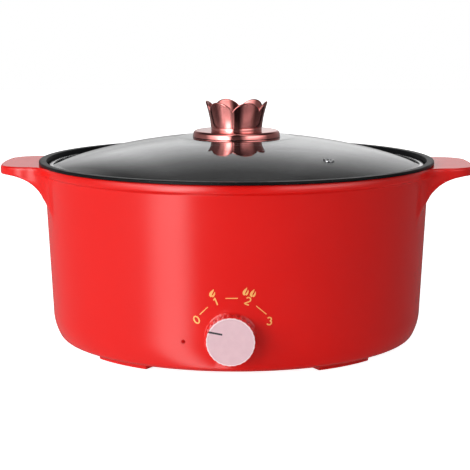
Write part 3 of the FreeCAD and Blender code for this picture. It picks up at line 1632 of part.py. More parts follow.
def make_crown(table):
    """Hollow crown: flared petals over a plain collar, with an arched tip on each petal."""
    base = table.value
    top = base + dim.crown_height.value
    collar = base + dim.crown_collar_height.value
    share = dim.crown_crease.value
    wall = dim.crown_wall.value
    floor = base + dim.crown_floor.value
    radii = [dim.crown_foot_radius.value, dim.crown_waist_radius.value,
             dim.crown_neck_radius.value, dim.crown_tip_radius.value]
    over = dim.crown_overrun.value
    span = top - collar + over
    shares = (0, dim.crown_low_share.value, dim.crown_high_share.value, 1)
    heights = [collar + span * part for part in shares]
    outside = Part.makeLoft([petal_wire(far, far * share, height)
                             for far, height in zip(radii, heights)], True, False)
    inner_heights = [floor] + [height + over for height in heights[1:]]
    inside = Part.makeLoft([petal_wire(far - wall, (far - wall) * share, height)
                            for far, height in zip(radii, inner_heights)], True, False)
    arch = dim.crown_arch.value
    petals = int(dim.crown_petals.value)
    reach = dim.crown_tip_radius.value + 5
    humps = []
    for number in range(petals):
        angle = dim.crown_turn.value + 360.0 / petals * (number + 0.5)
        along = FreeCAD.Vector(math.sin(math.radians(angle)), -math.cos(math.radians(angle)), 0)
        humps.append(Part.makeCylinder(arch, reach, FreeCAD.Vector(0, 0, top - arch), along))
    core = Part.makeCylinder(reach, top - arch - collar, FreeCAD.Vector(0, 0, collar))
    envelope = core.fuse(humps)
    ring = Part.makeCylinder(dim.crown_collar_radius.value, collar - base, FreeCAD.Vector(0, 0, base))
    spigot_length = dim.crown_spigot_length.value
    spigot = Part.makeCylinder(dim.crown_spigot.value, spigot_length,
                               FreeCAD.Vector(0, 0, base - spigot_length))
    crown = outside.common(envelope).cut(inside).fuse([ring, spigot])
    bore = Part.makeCylinder(dim.knob_screw_radius.value + 0.05, spigot_length + dim.crown_bore_reach.value,
                             FreeCAD.Vector(0, 0, base - spigot_length))
    shape_node("lid_knob_crown", crown.cut(bore).removeSplitter())


# ---------------------------------------------------------------- build, check and write

make_outer_casing()
make_inner_pot()
make_base_cover()
make_feet_and_studs()
make_heater()
make_cutout_and_fuse()
make_thermostat()
make_spindle()
make_control_knob()
make_indicator()
make_inlet()
make_wiring()
make_terminals()
make_lid_glass()
make_lid_band()
make_steam_vent()
make_lid_knob()
doc.recompute()

for item in doc.Objects:
    if "Invalid" in item.State or "Error" in item.State:
        raise RuntimeError(f"{item.Label} failed: {item.State}")
for part in parts:
    if part.Shape.isNull() or not part.Shape.isValid() or not part.Shape.Solids:
        raise RuntimeError(f"{part.Label} has no valid solid")

os.makedirs("parts", exist_ok=True)
for part in parts:
    part.Shape.exportStep(f"parts/{part.Label}.step")
    box = part.Shape.BoundBox
    print(f"{part.Label:24s} solids {len(part.Shape.Solids)} volume {part.Shape.Volume:10.1f} "
          f"x {box.XMin:7.1f} {box.XMax:7.1f} y {box.YMin:7.1f} {box.YMax:7.1f} "
          f"z {box.ZMin:7.1f} {box.ZMax:7.1f}")
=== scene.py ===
import math

import bmesh
import bpy
import numpy as np
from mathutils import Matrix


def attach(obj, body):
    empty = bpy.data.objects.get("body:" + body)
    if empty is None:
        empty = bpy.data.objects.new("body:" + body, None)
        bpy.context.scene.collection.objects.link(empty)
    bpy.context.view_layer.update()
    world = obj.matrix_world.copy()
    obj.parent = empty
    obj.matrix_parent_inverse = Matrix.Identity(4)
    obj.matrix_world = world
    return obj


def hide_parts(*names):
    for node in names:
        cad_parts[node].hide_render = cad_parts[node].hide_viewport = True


# An electric hot pot with a loose glass lid, dressed for a studio.
# Sizes are worked out in millimetres and become metres when a mesh is made.
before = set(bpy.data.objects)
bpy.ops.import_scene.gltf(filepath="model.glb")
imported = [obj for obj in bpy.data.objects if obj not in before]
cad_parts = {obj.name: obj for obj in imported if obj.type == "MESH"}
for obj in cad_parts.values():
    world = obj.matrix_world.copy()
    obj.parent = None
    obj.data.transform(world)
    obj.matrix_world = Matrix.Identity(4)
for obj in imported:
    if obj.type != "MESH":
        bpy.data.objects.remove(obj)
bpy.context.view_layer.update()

# ---------------------------------------------------------------- studio and camera
# A long lens from a little above the lid, on a seamless pale sweep. A large soft key stands on
# the left, a weak fill on the right, and a broad lamp hangs above and behind. They are kept out
# of the gloss, which mirrors a studio of its own.
scene = bpy.context.scene
scene.view_settings.view_transform = "Standard"
scene.view_settings.look = "None"
camera_turn, camera_dip = math.radians(1.5), math.radians(9.03)
camera_away, camera_height = 1.310, 0.2949
image_width, shift_in_pixels = 470, -1.5
camera_data = bpy.data.cameras.new("camera")
camera_data.sensor_width = 36.0
camera_data.lens = 122.9
camera_data.shift_x = shift_in_pixels / image_width
camera = bpy.data.objects.new("camera", camera_data)
camera.location = (camera_away * math.sin(camera_turn), -camera_away * math.cos(camera_turn),
                   camera_height)
camera.rotation_euler = (math.radians(90) - camera_dip, 0, camera_turn)
scene.collection.objects.link(camera)
scene.camera = camera


def shade(red, green, blue):
    """A display colour, 0 to 255 a channel, as the linear colour that shaders take."""
    values = np.array([red, green, blue]) / 255.0
    linear = np.where(values <= 0.04045, values / 12.92, ((values + 0.055) / 1.055) ** 2.4)
    return (*linear.tolist(), 1.0)


def soft_box(name, azimuth, rise, away, width, height, power):
    """A rectangular lamp at a bearing from the front and an elevation, facing the pot."""
    aim = np.array([0, 0, 0.09])
    bearing, lift = math.radians(azimuth), math.radians(rise)
    data = bpy.data.lights.new(name, "AREA")
    data.shape = "RECTANGLE"
    data.size, data.size_y, data.energy = width, height, power
    lamp = bpy.data.objects.new(name, data)
    place = np.array([math.sin(bearing) * math.cos(lift), -math.cos(bearing) * math.cos(lift),
                      math.sin(lift)]) * away + aim
    lamp.location = place.tolist()
    look = aim - place
    flat = math.hypot(look[0], look[1])
    lamp.rotation_euler = (math.atan2(flat, -look[2]), 0, math.atan2(-look[0], look[1]))
    lamp.visible_glossy = False
    scene.collection.objects.link(lamp)


soft_box("key_left", -56, 20, 2.2, 0.8, 1.0, 20)
soft_box("fill_right", 60, 20, 2.4, 1.0, 1.6, 2.4)
soft_box("top_light", 180, 64, 2.1, 2.2, 1.4, 4.5)

# What glossy surfaces mirror is brightness against the bearing from the front, in degrees. Below
# the horizon it is a dark room with a tall soft box left of the camera. Above it, it is a pale
# sweep behind and two boxes in front with a dark gap between them, which narrow higher up. That
# dims with the rise, the sine of the elevation, and comes back by half right overhead.
below = ((-180, 0.14), (-150, 0.3), (-112, 0.32), (-72, 0.5), (-54, 0.7), (-46, 3.6), (-30, 4.4),
         (-26, 0.6), (-20, 0.25), (0, 0.14), (18, 0.12), (60, 0.1), (96, 0.12), (126, 0.15),
         (180, 0.14))
above = ((-180, 1.0), (-177, 0.8), (-175, 0.7), (-170, 0.7), (-168, 0.62), (-166, 0.34),
         (-163, 0.34), (-120, 0.3), (-84, 0.4), (-70, 1.6), (-56, 2.6), (-48, 4.5), (-38, 11.0),
         (-26, 12.0), (-18, 5.0), (-13, 0.2), (14, 0.1), (26, 1.2), (34, 1.5), (60, 1.2),
         (76, 0.7), (92, 0.2), (120, 0.25), (165, 0.45), (168, 0.5), (170, 0.6), (172, 0.7),
         (174, 0.9), (180, 1.0))
higher = ((-180, 1.14), (-175, 1.1), (-170, 1.12), (-168, 0.78), (-166, 0.36), (-163, 0.36),
          (-120, 0.2), (-90, 0.3), (-72, 1.8), (-58, 3.4), (-38, 6.4), (-26, 7.2), (-17, 3.0),
          (-11, 0.1), (12, 0.1), (24, 1.0), (34, 3.2), (62, 3.0), (78, 1.5), (92, 0.3),
          (120, 0.25), (165, 0.45), (168, 0.5), (170, 0.66), (172, 0.82), (174, 1.08),
          (180, 1.14))
dims_with_rise = ((0, 1), (0.3, 1), (0.4, 0.8), (0.5, 0.42), (0.6, 0.2), (0.78, 0.2), (0.86, 0.5),
                  (1, 0.5))
horizon, boxes_narrow = (-0.12, 0.08), (0.13, 0.22)
brightest, room_fill, backdrop, sweep_glow = 32.0, 0.21, 1.0, 0.92


def ranged(nodes, low, high):
    """A node that turns the span from one value to another into 0 to 1."""
    node = nodes.new("ShaderNodeMapRange")
    node.inputs["From Min"].default_value = low
    node.inputs["From Max"].default_value = high
    return node


world = bpy.data.worlds.new("studio")
world.use_nodes = True
scene.world = world
nodes, links = world.node_tree.nodes, world.node_tree.links
background = nodes["Background"]
background.inputs["Color"].default_value = (1, 1, 1, 1)
direction, split = nodes.new("ShaderNodeTexCoord"), nodes.new("ShaderNodeSeparateXYZ")
links.new(direction.outputs["Generated"], split.inputs[0])
forward, bearing = nodes.new("ShaderNodeMath"), nodes.new("ShaderNodeMath")
forward.operation, bearing.operation = "MULTIPLY", "ARCTAN2"
forward.inputs[1].default_value = -1.0
links.new(split.outputs["Y"], forward.inputs[0])
links.new(split.outputs["X"], bearing.inputs[0])
links.new(forward.outputs[0], bearing.inputs[1])
turn_share = ranged(nodes, -math.pi, math.pi)
links.new(bearing.outputs[0], turn_share.inputs["Value"])


def from_curve(value, spots, low, high, peak):
    """The output of a curve node whose spots are given from low to high, up to a peak."""
    level, scale = nodes.new("ShaderNodeFloatCurve"), nodes.new("ShaderNodeMath")
    curve = level.mapping.curves[0]
    for number, (place, height) in enumerate(spots):
        spot = (place - low) / (high - low), height / peak
        if number in (0, len(spots) - 1):
            curve.points[0 if number == 0 else -1].location = spot
        else:
            curve.points.new(*spot)
    for point in curve.points:
        point.handle_type = "VECTOR"
    level.mapping.update()
    scale.operation = "MULTIPLY"
    scale.inputs[1].default_value = peak
    links.new(value, level.inputs["Value"])
    links.new(level.outputs["Value"], scale.inputs[0])
    return scale.outputs[0]


def blended(factor, one, other):
    """A mix of two values, each a socket or a number."""
    mix = nodes.new("ShaderNodeMix")
    for label, value in (("Factor", factor), ("A", one), ("B", other)):
        if isinstance(value, (int, float)):
            mix.inputs[label].default_value = value
        else:
            links.new(value, mix.inputs[label])
    return mix.outputs["Result"]


def climbing(low, high):
    """How far the ray's rise has gone from one value to another."""
    climb = ranged(nodes, low, high)
    links.new(split.outputs["Z"], climb.inputs["Value"])
    return climb.outputs["Result"]


turned_by = turn_share.outputs["Result"]
upper = blended(climbing(*boxes_narrow), from_curve(turned_by, above, -180, 180, brightest),
                from_curve(turned_by, higher, -180, 180, brightest))
dimming = nodes.new("ShaderNodeMath")
dimming.operation = "MULTIPLY"
links.new(upper, dimming.inputs[0])
links.new(from_curve(split.outputs["Z"], dims_with_rise, 0, 1, 1.0), dimming.inputs[1])
mirrored = blended(climbing(*horizon), from_curve(turned_by, below, -180, 180, brightest),
                   dimming.outputs[0])
ray = nodes.new("ShaderNodeLightPath")
mirrored = blended(ray.outputs["Is Diffuse Ray"], mirrored, room_fill)
mirrored = blended(ray.outputs["Is Camera Ray"], mirrored, backdrop)
links.new(mirrored, background.inputs["Strength"])

floor_half = 3.0
floor_mesh = bpy.data.meshes.new("floor")
floor_mesh.from_pydata([(x * floor_half, y * floor_half, 0.0) for x, y in (
    (-1, -1), (1, -1), (1, 1), (-1, 1))], [], [(0, 1, 2, 3)])
floor = bpy.data.objects.new("floor", floor_mesh)
scene.collection.objects.link(floor)
floor_paint = bpy.data.materials.new("floor_paint")
floor_paint.use_nodes = True
nodes, links = floor_paint.node_tree.nodes, floor_paint.node_tree.links
shader = nodes["Principled BSDF"]
shader.inputs["Base Color"].default_value = (0.92, 0.92, 0.92, 1)
shader.inputs["Roughness"].default_value = 0.7
shader.inputs["Specular IOR Level"].default_value = 0.1
shader.inputs["Emission Color"].default_value = (1, 1, 1, 1)
seen = nodes.new("ShaderNodeLightPath")
glow = nodes.new("ShaderNodeMath")
glow.operation = "MULTIPLY"
glow.inputs[1].default_value = sweep_glow
links.new(seen.outputs["Is Camera Ray"], glow.inputs[0])
links.new(glow.outputs[0], shader.inputs["Emission Strength"])
floor.visible_glossy = False
floor_mesh.materials.append(floor_paint)

# ---------------------------------------------------------------- outer casing
# Injection-moulded red shell in one piece: a round wall with a bead under the pot's rim, two
# grips, a raised seat for the control in front and a boss for the supply socket behind. It is
# clamped between the pot's rim and the base cover.
wall_low, wall_top, bead, mouth, wall_thick = 151.1, 156.7, 160.0, 157.4, 2.8
foot_of_wall, corner_top, bead_foot, bead_middle, casing_top = 6.0, 29.0, 139.8, 143.6, 148.3
tight_arc, tight_in, tight_height, wide_arc, arcs_meet = 7.0, 11.0, 13.0, 41.0, 0.4706
taper_top, bead_rise, bead_crown = 140.4, 3.0, 0.055
grip_top, grip_thickness, grip_side, grip_end, grip_edge = 147.5, 7.2, 43.5, 192.0, 1.9
control_height, seat_front, seat_radius, seat_draft = 33.4, 153.0, 18.5, 0.2
inlet_height, boss_back, boss_wide, boss_high, boss_corner = 31.0, 163.0, 20.0, 12.0, 6.0


def wall_radius(z, inset=0.0):
    """Radius of the wall at a height: a tight arc and a wide arc round the bottom corner, a
    straight taper above them, and an S-curve out to the bead, whose upper half is crowned. The
    inset makes the inner face."""
    tight, wide = tight_arc - inset, wide_arc - inset
    low = wall_low - tight_in + np.sqrt(np.maximum(tight ** 2 - (z - tight_height) ** 2, 0))
    drop = np.minimum(z - corner_top, 0)
    middle = wall_low - wide_arc + np.sqrt(np.maximum(wide ** 2 - drop ** 2, 0))
    taper = wall_low - inset + (wall_top - wall_low) * (z - corner_top) / (taper_top - corner_top)
    straight = np.minimum(taper, wall_top - inset)
    step = np.clip((z - bead_foot) / bead_rise, 0, 1)
    crowned = bead - bead_crown * np.maximum(z - bead_middle, 0) ** 2
    over = (crowned - wall_top) * step * step * (3 - 2 * step) * (inset == 0)
    join = tight_height - tight * arcs_meet
    return np.where(z < join, low, np.where(z < corner_top, middle, straight)) + over


def rounded_and(a, b, radius):
    """Distance to what two forms share, with the edge between them rounded."""
    inside = np.minimum(np.maximum(a + radius, b + radius), 0)
    return inside + np.hypot(np.maximum(a + radius, 0), np.maximum(b + radius, 0)) - radius


def filleted_or(a, b, radius):
    """Distance to two forms joined, with a fillet in the angle between them."""
    outside = np.maximum(np.minimum(a, b), radius)
    return outside - np.hypot(np.maximum(radius - a, 0), np.maximum(radius - b, 0))


def grip_field(x, y, z):
    """Distance to a grip: a bowed slab with round corners and a flared root, hollowed below by
    an arc for the fingers that runs down into a short rib."""
    along, aside = np.abs(x), np.abs(y)
    bow_radius, flare_start, flare, root, corner = 170.0, 170.0, 30.0, 57.0, 17.5
    bow = np.hypot(along - (grip_end - bow_radius), aside) - bow_radius
    flared = flare - np.hypot(along - flare_start,
                              np.minimum(aside, grip_side + flare) - grip_side - flare)
    side = np.where(along > flare_start, aside - grip_side, flared)
    plan = rounded_and(bow, np.maximum(side, aside - root), corner)
    arc, arc_x = 35.8, 183.6
    arc_z = grip_top - grip_thickness - arc
    arched = arc - np.hypot(along - arc_x, np.maximum(z - arc_z, 0))
    hollow = np.where(along < arc_x, arched, arc_z + arc - z)
    rib_x, rib_z = arc_x - arc * 0.8988, arc_z + arc * 0.4384
    outward, upward, undercut, soft = 0.716, 0.698, 0.9, 3.0
    rib = (outward * (along - rib_x) - upward * (z - rib_z)
           - undercut * np.maximum(z - rib_z, 0))
    under = rounded_and(hollow, rib, soft)
    return rounded_and(rounded_and(plan, z - grip_top, grip_edge), under, grip_edge)


def casing_field(x, y, z):
    """Distance to the casing's outer form, all of its parts joined by fillets. The control's
    seat is a shallow cone whose fillet widens below, the boss is a block with round corners,
    and both end inside the wall."""
    grip_fillet, seat_edge, boss_edge, boss_fillet, ends = 6.0, 0.8, 2.0, 7.0, 120.0
    seat_fillet, wider, widens_below, within = 0.5, 8.7, 17.0, 9.0
    wall = np.hypot(x, y) - wall_radius(z)
    body = filleted_or(wall, grip_field(x, y, z), grip_fillet)
    flank = np.hypot(x, z - control_height) - seat_radius - seat_draft * (seat_front + y)
    cone = flank / math.hypot(1, seat_draft)
    seat = np.maximum(rounded_and(cone, -y - seat_front, seat_edge), y + ends)
    widened = np.clip((widens_below - z) / within, 0, 1)
    body = filleted_or(body, seat, seat_fillet + wider * widened)
    across, upward = np.abs(x) - boss_wide, np.abs(z - inlet_height) - boss_high
    block = (np.hypot(np.maximum(across, 0), np.maximum(upward, 0))
             + np.minimum(np.maximum(across, upward), 0) - boss_corner)
    boss = np.maximum(rounded_and(block, y - boss_back, boss_edge), ends - y)
    return filleted_or(body, boss, boss_fillet)


def casing_reach(angle, z):
    """How far out the casing goes at a bearing and a height: a point walks inwards along the
    level ray by most of the distance that is left, until it meets the form. From the top of
    the grips upwards it is the wall's radius."""
    clear_of_it, stride, strides = 200.0, 0.93, 90
    reach = np.full(np.broadcast(angle, z).shape, clear_of_it)
    for _ in range(strides):
        reach = reach - stride * casing_field(reach * np.cos(angle), reach * np.sin(angle), z)
    return np.where(z >= grip_top, wall_radius(z), reach)


def even_bearings(count, must_have):
    """Bearings spaced evenly along the casing's outline through the grips, closer at the
    control and the boss, with the nearest ones moved onto the bearings that must be there."""
    fine, through_grips = np.linspace(0, 2 * np.pi, 7201), 144.4
    control_half, boss_half, more_at_control, more_at_boss = 0.25, 0.22, 1.9, 1.3
    outline = casing_reach(fine, through_grips)
    pace = np.hypot(np.gradient(outline), outline * np.gradient(fine))
    control = np.exp(-((fine - 1.5 * np.pi) / control_half) ** 6)
    boss = np.exp(-((fine - 0.5 * np.pi) / boss_half) ** 6)
    travel = np.cumsum(pace * (1 + more_at_control * control + more_at_boss * boss))
    travel = (travel - travel[0]) / (travel[-1] - travel[0])
    bearings = np.interp(np.arange(count) / count, travel, fine)
    for wanted in must_have:
        bearings[np.argmin(np.abs(bearings - wanted))] = wanted
    return bearings


def grid_faces(rows, columns, wrap_rows=False):
    """The quads between neighbouring points of a grid that is stored row after row. Each row
    runs round to its own start, and the last row joins the first where that is asked."""
    row = np.arange(rows if wrap_rows else rows - 1)[:, None]
    column = np.arange(columns)[None, :]
    next_row, next_column = (row + 1) % rows, (column + 1) % columns
    quads = np.broadcast_arrays(row * columns + column, row * columns + next_column,
                                next_row * columns + next_column, next_row * columns + column)
    return np.stack(quads, -1).reshape(-1, 4)


def make_piece(name, points, faces, body, material, crisp=32.0):
    """A mesh object from points in millimetres and faces. Points that coincide are merged, and
    edges that turn by more than the crisp angle keep a hard line."""
    metres, coincide = 0.001, 2e-7
    mesh = bpy.data.meshes.new(name)
    mesh.from_pydata((np.asarray(points).reshape(-1, 3) * metres).tolist(), [], faces.tolist())
    shape = bmesh.new()
    shape.from_mesh(mesh)
    bmesh.ops.remove_doubles(shape, verts=shape.verts, dist=coincide)
    shape.to_mesh(mesh)
    shape.free()
    mesh.shade_smooth()
    mesh.set_sharp_from_angle(angle=math.radians(crisp))
    mesh.materials.append(material)
    piece = bpy.data.objects.new(name, mesh)
    scene.collection.objects.link(piece)
    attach(piece, body)
    return piece


def new_group(name, inputs, output):
    """A node group with the given inputs and one output, and its two end nodes."""
    group = bpy.data.node_groups.new(name, "ShaderNodeTree")
    for label, value in inputs:
        socket = group.interface.new_socket(name=label, in_out="INPUT",
                                            socket_type="NodeSocketFloat")
        socket.default_value = value
    group.interface.new_socket(name=output, in_out="OUTPUT", socket_type="NodeSocketFloat")
    return group, group.nodes.new("NodeGroupInput"), group.nodes.new("NodeGroupOutput")


def make_mottle():
    """Soft uneven patches: noise on the object's own coordinates, spread between two values."""
    group, entry, leave = new_group("mottle", (("Scale", 30.0), ("Detail", 3.0), ("Low", 0.0),
                                               ("High", 1.0)), "Value")
    nodes, links = group.nodes, group.links
    place, noise = nodes.new("ShaderNodeTexCoord"), nodes.new("ShaderNodeTexNoise")
    spread = ranged(nodes, 0.2, 0.8)
    spread.interpolation_type = "SMOOTHSTEP"
    links.new(place.outputs["Object"], noise.inputs["Vector"])
    links.new(entry.outputs["Scale"], noise.inputs["Scale"])
    links.new(entry.outputs["Detail"], noise.inputs["Detail"])
    links.new(noise.outputs["Fac"], spread.inputs["Value"])
    links.new(entry.outputs["Low"], spread.inputs["To Min"])
    links.new(entry.outputs["High"], spread.inputs["To Max"])
    links.new(spread.outputs["Result"], leave.inputs["Value"])
    return group


def make_grain():
    """Fine relief: noise on the object's own coordinates."""
    group, entry, leave = new_group("grain", (("Scale", 400.0),), "Height")
    nodes, links = group.nodes, group.links
    place, noise = nodes.new("ShaderNodeTexCoord"), nodes.new("ShaderNodeTexNoise")
    noise.inputs["Detail"].default_value = 2.0
    links.new(place.outputs["Object"], noise.inputs["Vector"])
    links.new(entry.outputs["Scale"], noise.inputs["Scale"])
    links.new(noise.outputs["Fac"], leave.inputs["Height"])
    return group


mottle, grain = make_mottle(), make_grain()


def placed_group(nodes, group, **values):
    """A group's node in a material, with that material's own values."""
    node = nodes.new("ShaderNodeGroup")
    node.node_tree = group
    for label, value in values.items():
        node.inputs[label].default_value = value
    return node


def finish(name, one, other, smooth, rough, patch, relief, fineness, **plain):
    """A worked surface: colour drifting between two shades, gloss drifting between two
    roughnesses in finer patches, and a fine relief. Other values go straight onto the shader's
    sockets."""
    finer = 2.3
    material = bpy.data.materials.new(name)
    material.use_nodes = True
    nodes, links = material.node_tree.nodes, material.node_tree.links
    shader = nodes["Principled BSDF"]
    patches = placed_group(nodes, mottle, Scale=patch)
    tint = nodes.new("ShaderNodeMix")
    tint.data_type = "RGBA"
    tint.inputs["A"].default_value = one
    tint.inputs["B"].default_value = other
    links.new(patches.outputs["Value"], tint.inputs["Factor"])
    links.new(tint.outputs["Result"], shader.inputs["Base Color"])
    gloss = placed_group(nodes, mottle, Scale=patch * finer, Low=smooth, High=rough)
    links.new(gloss.outputs["Value"], shader.inputs["Roughness"])
    relief_map = placed_group(nodes, grain, Scale=fineness)
    bump = nodes.new("ShaderNodeBump")
    bump.inputs["Strength"].default_value = relief
    bump.inputs["Distance"].default_value = 0.00005
    links.new(relief_map.outputs["Height"], bump.inputs["Height"])
    links.new(bump.outputs["Normal"], shader.inputs["Normal"])
    for label, value in plain.items():
        shader.inputs[label.replace("_", " ")].default_value = value
    return material


red_shell = finish("red_shell", shade(226, 17, 12), shade(229, 20, 14), 0.215, 0.255,
                   patch=14.0, relief=0.02, fineness=900.0)


def make_casing():
    """The outer face on a grid of bearing and height, closed over the mouth and under the foot
    by the inner face on the same bearings. The levels lie closer at the foot, the socket and
    the bead, and the inner face keeps some of them. The supply socket's opening is left out of
    both faces and lined from one to the other."""
    around, socket_wide, socket_high, near, near_turn = 540, 15.2, 11.2, 1e-3, 1e-6
    turn = math.atan2(socket_wide, boss_back)
    first, last = np.pi / 2 - turn, np.pi / 2 + turn
    bearings = even_bearings(around, (first, last))
    low, high = inlet_height - socket_high, inlet_height + socket_high
    foot_round, mid_wall, upper_wall, below_bead = 6.0, 68.5, 110.0, 138.0
    edge = grip_edge * (1 - np.cos(np.linspace(np.pi / 2, 0, 8)))
    heights = np.concatenate([
        foot_of_wall + foot_round * (1 - np.cos(np.linspace(0, np.pi / 2, 9)[:-1])),
        np.linspace(foot_of_wall + foot_round, low, 7)[:-1], np.linspace(low, high, 19),
        np.linspace(high, mid_wall, 21)[1:], np.linspace(mid_wall, upper_wall, 8)[1:],
        np.linspace(upper_wall, below_bead, 22)[1:], np.linspace(below_bead, bead_foot, 4)[1:],
        bead_foot + edge[0] - edge[1:], np.linspace(141.9, bead_middle, 5), [144.6, 145.1],
        grip_top - edge[1:-1],
        [grip_top - near, grip_top, casing_top - 0.5, casing_top - 0.15, casing_top]])
    heights = np.unique(np.round(heights, 4))
    outside = casing_reach(bearings[None, :], heights[:, None])
    top_rounding = np.array([[0.1], [0.5]])
    outside[-2:] -= top_rounding
    kept = (heights >= low - near_turn) & (heights <= high + near_turn)
    one_in, above_floor = 6, 10.5
    kept[::one_in] = True
    kept &= (heights > above_floor) & (heights < below_bead)
    ledge, floor_top, floor_out, base_mouth = 141.1, 8.8, 140.1, 137.2
    going_down = np.concatenate([heights[kept][::-1], floor_top + np.array([1.2, 0.3])])
    inner_heights = np.concatenate([[casing_top, ledge, ledge], going_down,
                                    [floor_top, floor_top, foot_of_wall]])
    inner_radii = np.concatenate([[mouth, mouth, wall_top - wall_thick],
                                  wall_radius(going_down, wall_thick),
                                  [floor_out, base_mouth, base_mouth]])
    inside = np.broadcast_to(inner_radii[:, None], (len(inner_radii), len(bearings)))
    reach = np.vstack([outside, inside])
    levels = np.concatenate([heights, inner_heights])
    points = np.stack([reach * np.cos(bearings), reach * np.sin(bearings),
                       np.broadcast_to(levels[:, None], reach.shape)], -1)
    rows, columns = reach.shape
    faces = grid_faces(rows, columns, wrap_rows=True)
    turn_of = bearings[faces[:, 0] % columns]
    level_pair = levels[faces[:, 0] // columns], levels[faces[:, 3] // columns]
    in_height = (np.minimum(*level_pair) > low - near) & (np.maximum(*level_pair) < high + near)
    in_width = (turn_of > first - near_turn) & (turn_of < last - near_turn)
    faces = faces[~(in_height & in_width)]
    across = np.flatnonzero((bearings > first - near_turn) & (bearings < last + near_turn))
    beside = (levels > low - near) & (levels < high + near)
    outer = np.flatnonzero(beside[:len(heights)]) * columns
    inner = (len(heights) + np.flatnonzero(beside[len(heights):])[::-1]) * columns

    def lining(outer_run, inner_run):
        """Quads from a run of the outer face's border to the same run of the inner face's."""
        return np.stack([outer_run[:-1], outer_run[1:], inner_run[1:], inner_run[:-1]], -1)

    faces = np.vstack([
        faces, lining(outer[0] + across, inner[0] + across),
        lining(outer[-1] + across, inner[-1] + across)[:, ::-1],
        lining(outer + across[0], inner + across[0])[:, ::-1],
        lining(outer + across[-1], inner + across[-1])])
    piece = make_piece("casing_shell", points, faces, "pot", red_shell, crisp=38.0)
    weighted = piece.modifiers.new("even_shading", "WEIGHTED_NORMAL")
    weighted.keep_sharp = True
    return piece


casing = make_casing()
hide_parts("outer_casing")

# ---------------------------------------------------------------- inner pot
# Deep-drawn aluminium with a black non-stick coat. Its rim covers the casing's mouth and holds
# the lid in a recess; the three studs under its floor pull the whole body together.


def rounded(corners, steps=6):
    """An outline whose corners (radius from the axis, height, rounding) are replaced by arcs
    that touch both sides. A rounding that is too large for its sides is made smaller."""
    most_of_side, nearly_one, tiny = 0.49, 0.999999, 1e-9
    corners = np.array(corners, float)
    spot, rounding = corners[:, :2], corners[:, 2]
    before, after = np.roll(spot, 1, axis=0) - spot, np.roll(spot, -1, axis=0) - spot
    reach_before, reach_after = np.linalg.norm(before, axis=1), np.linalg.norm(after, axis=1)
    before, after = before / reach_before[:, None], after / reach_after[:, None]
    cosine = np.clip((before * after).sum(1), -nearly_one, nearly_one)
    half = np.arccos(cosine) / 2
    room = most_of_side * np.minimum(reach_before, reach_after) * np.tan(half)
    rounding = np.minimum(rounding, room)
    middle = before + after
    middle = middle / np.maximum(np.linalg.norm(middle, axis=1), tiny)[:, None]
    centre = spot + middle * (rounding / np.sin(half))[:, None]
    start = spot + before * (rounding / np.tan(half))[:, None] - centre
    side = np.stack([-start[:, 1], start[:, 0]], -1)
    end = spot + after * (rounding / np.tan(half))[:, None] - centre
    turn = np.arctan2((side * end).sum(1), (start * end).sum(1))
    angle = turn[:, None] * np.linspace(0, 1, steps)[None, :]
    arcs = (centre[:, None] + start[:, None] * np.cos(angle)[..., None]
            + side[:, None] * np.sin(angle)[..., None])
    return np.where(rounding[:, None, None] > 0, arcs, spot[:, None]).reshape(-1, 2)


def turned(name, outline, columns, body, material, crisp=32.0, wrap=True):
    """A solid of revolution: the outline, which goes up the outside and down the inside, is
    carried round the upright axis. It is wrapped into a loop unless it ends on that axis."""
    outline = np.array(outline, float)
    bearing = np.arange(columns) * 2 * np.pi / columns
    points = np.stack([outline[:, :1] * np.cos(bearing), outline[:, :1] * np.sin(bearing),
                       np.broadcast_to(outline[:, 1:2], (len(outline), columns))], -1)
    faces = grid_faces(len(outline), columns, wrap_rows=wrap)
    return make_piece(name, points, faces, body, material, crisp)


def paint_over(material, mask, colour):
    """Mixes a second colour over a finish by as much as the mask says at each place."""
    nodes, links = material.node_tree.nodes, material.node_tree.links
    ground, paint = nodes["Principled BSDF"].inputs["Base Color"], nodes.new("ShaderNodeMix")
    paint.data_type = "RGBA"
    paint.inputs["B"].default_value = colour
    links.new(ground.links[0].from_socket, paint.inputs["A"])
    links.new(mask, paint.inputs["Factor"])
    links.new(paint.outputs["Result"], ground)


def make_black_coat():
    """Black non-stick coat: fine pale flecks, the middles of small cells, in a slightly uneven
    satin ground."""
    material = finish("black_coat", shade(10, 11, 13), shade(16, 17, 19), 0.36, 0.44, patch=60.0,
                      relief=0.1, fineness=1500.0, Specular_IOR_Level=0.10)
    nodes, links = material.node_tree.nodes, material.node_tree.links
    place, cells = nodes.new("ShaderNodeTexCoord"), nodes.new("ShaderNodeTexVoronoi")
    cells.inputs["Scale"].default_value = 420.0
    fleck_edge, fleck_middle = 0.16, 0.08
    flecks = ranged(nodes, fleck_edge, fleck_middle)
    links.new(place.outputs["Object"], cells.inputs["Vector"])
    links.new(cells.outputs["Distance"], flecks.inputs["Value"])
    paint_over(material, flecks.outputs["Result"], shade(70, 72, 74))
    return material


black_coat = make_black_coat()
pot_bottom, pot_floor, floor_flat, pot_inside = 48.0, 51.0, 124.0, 146.0
recess_under, recess_top, recess_in, recess_out = 141.5, 143.5, 155.0, 157.0
rim_edge, rim_top = 161.0, 150.7
pot_outline = rounded([
    (0, pot_bottom, 0), (floor_flat, pot_bottom, 0), (148.0, pot_bottom, 24.0),
    (151.0, recess_under, 1.5), (recess_out, recess_under, 0.8), (recess_out, casing_top, 0.4),
    (rim_edge, casing_top, 0.3), (rim_edge, rim_top, 1.0), (recess_in, rim_top, 1.0),
    (recess_in, recess_top, 0.5), (149.0, recess_top, 0.8), (pot_inside, 73.0, 0),
    (pot_inside, pot_floor, 22.0), (floor_flat, pot_floor, 0), (0, pot_floor, 0)], steps=9)
pot = turned("cooking_pot", pot_outline, 256, "pot", black_coat, wrap=False)
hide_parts("inner_pot")

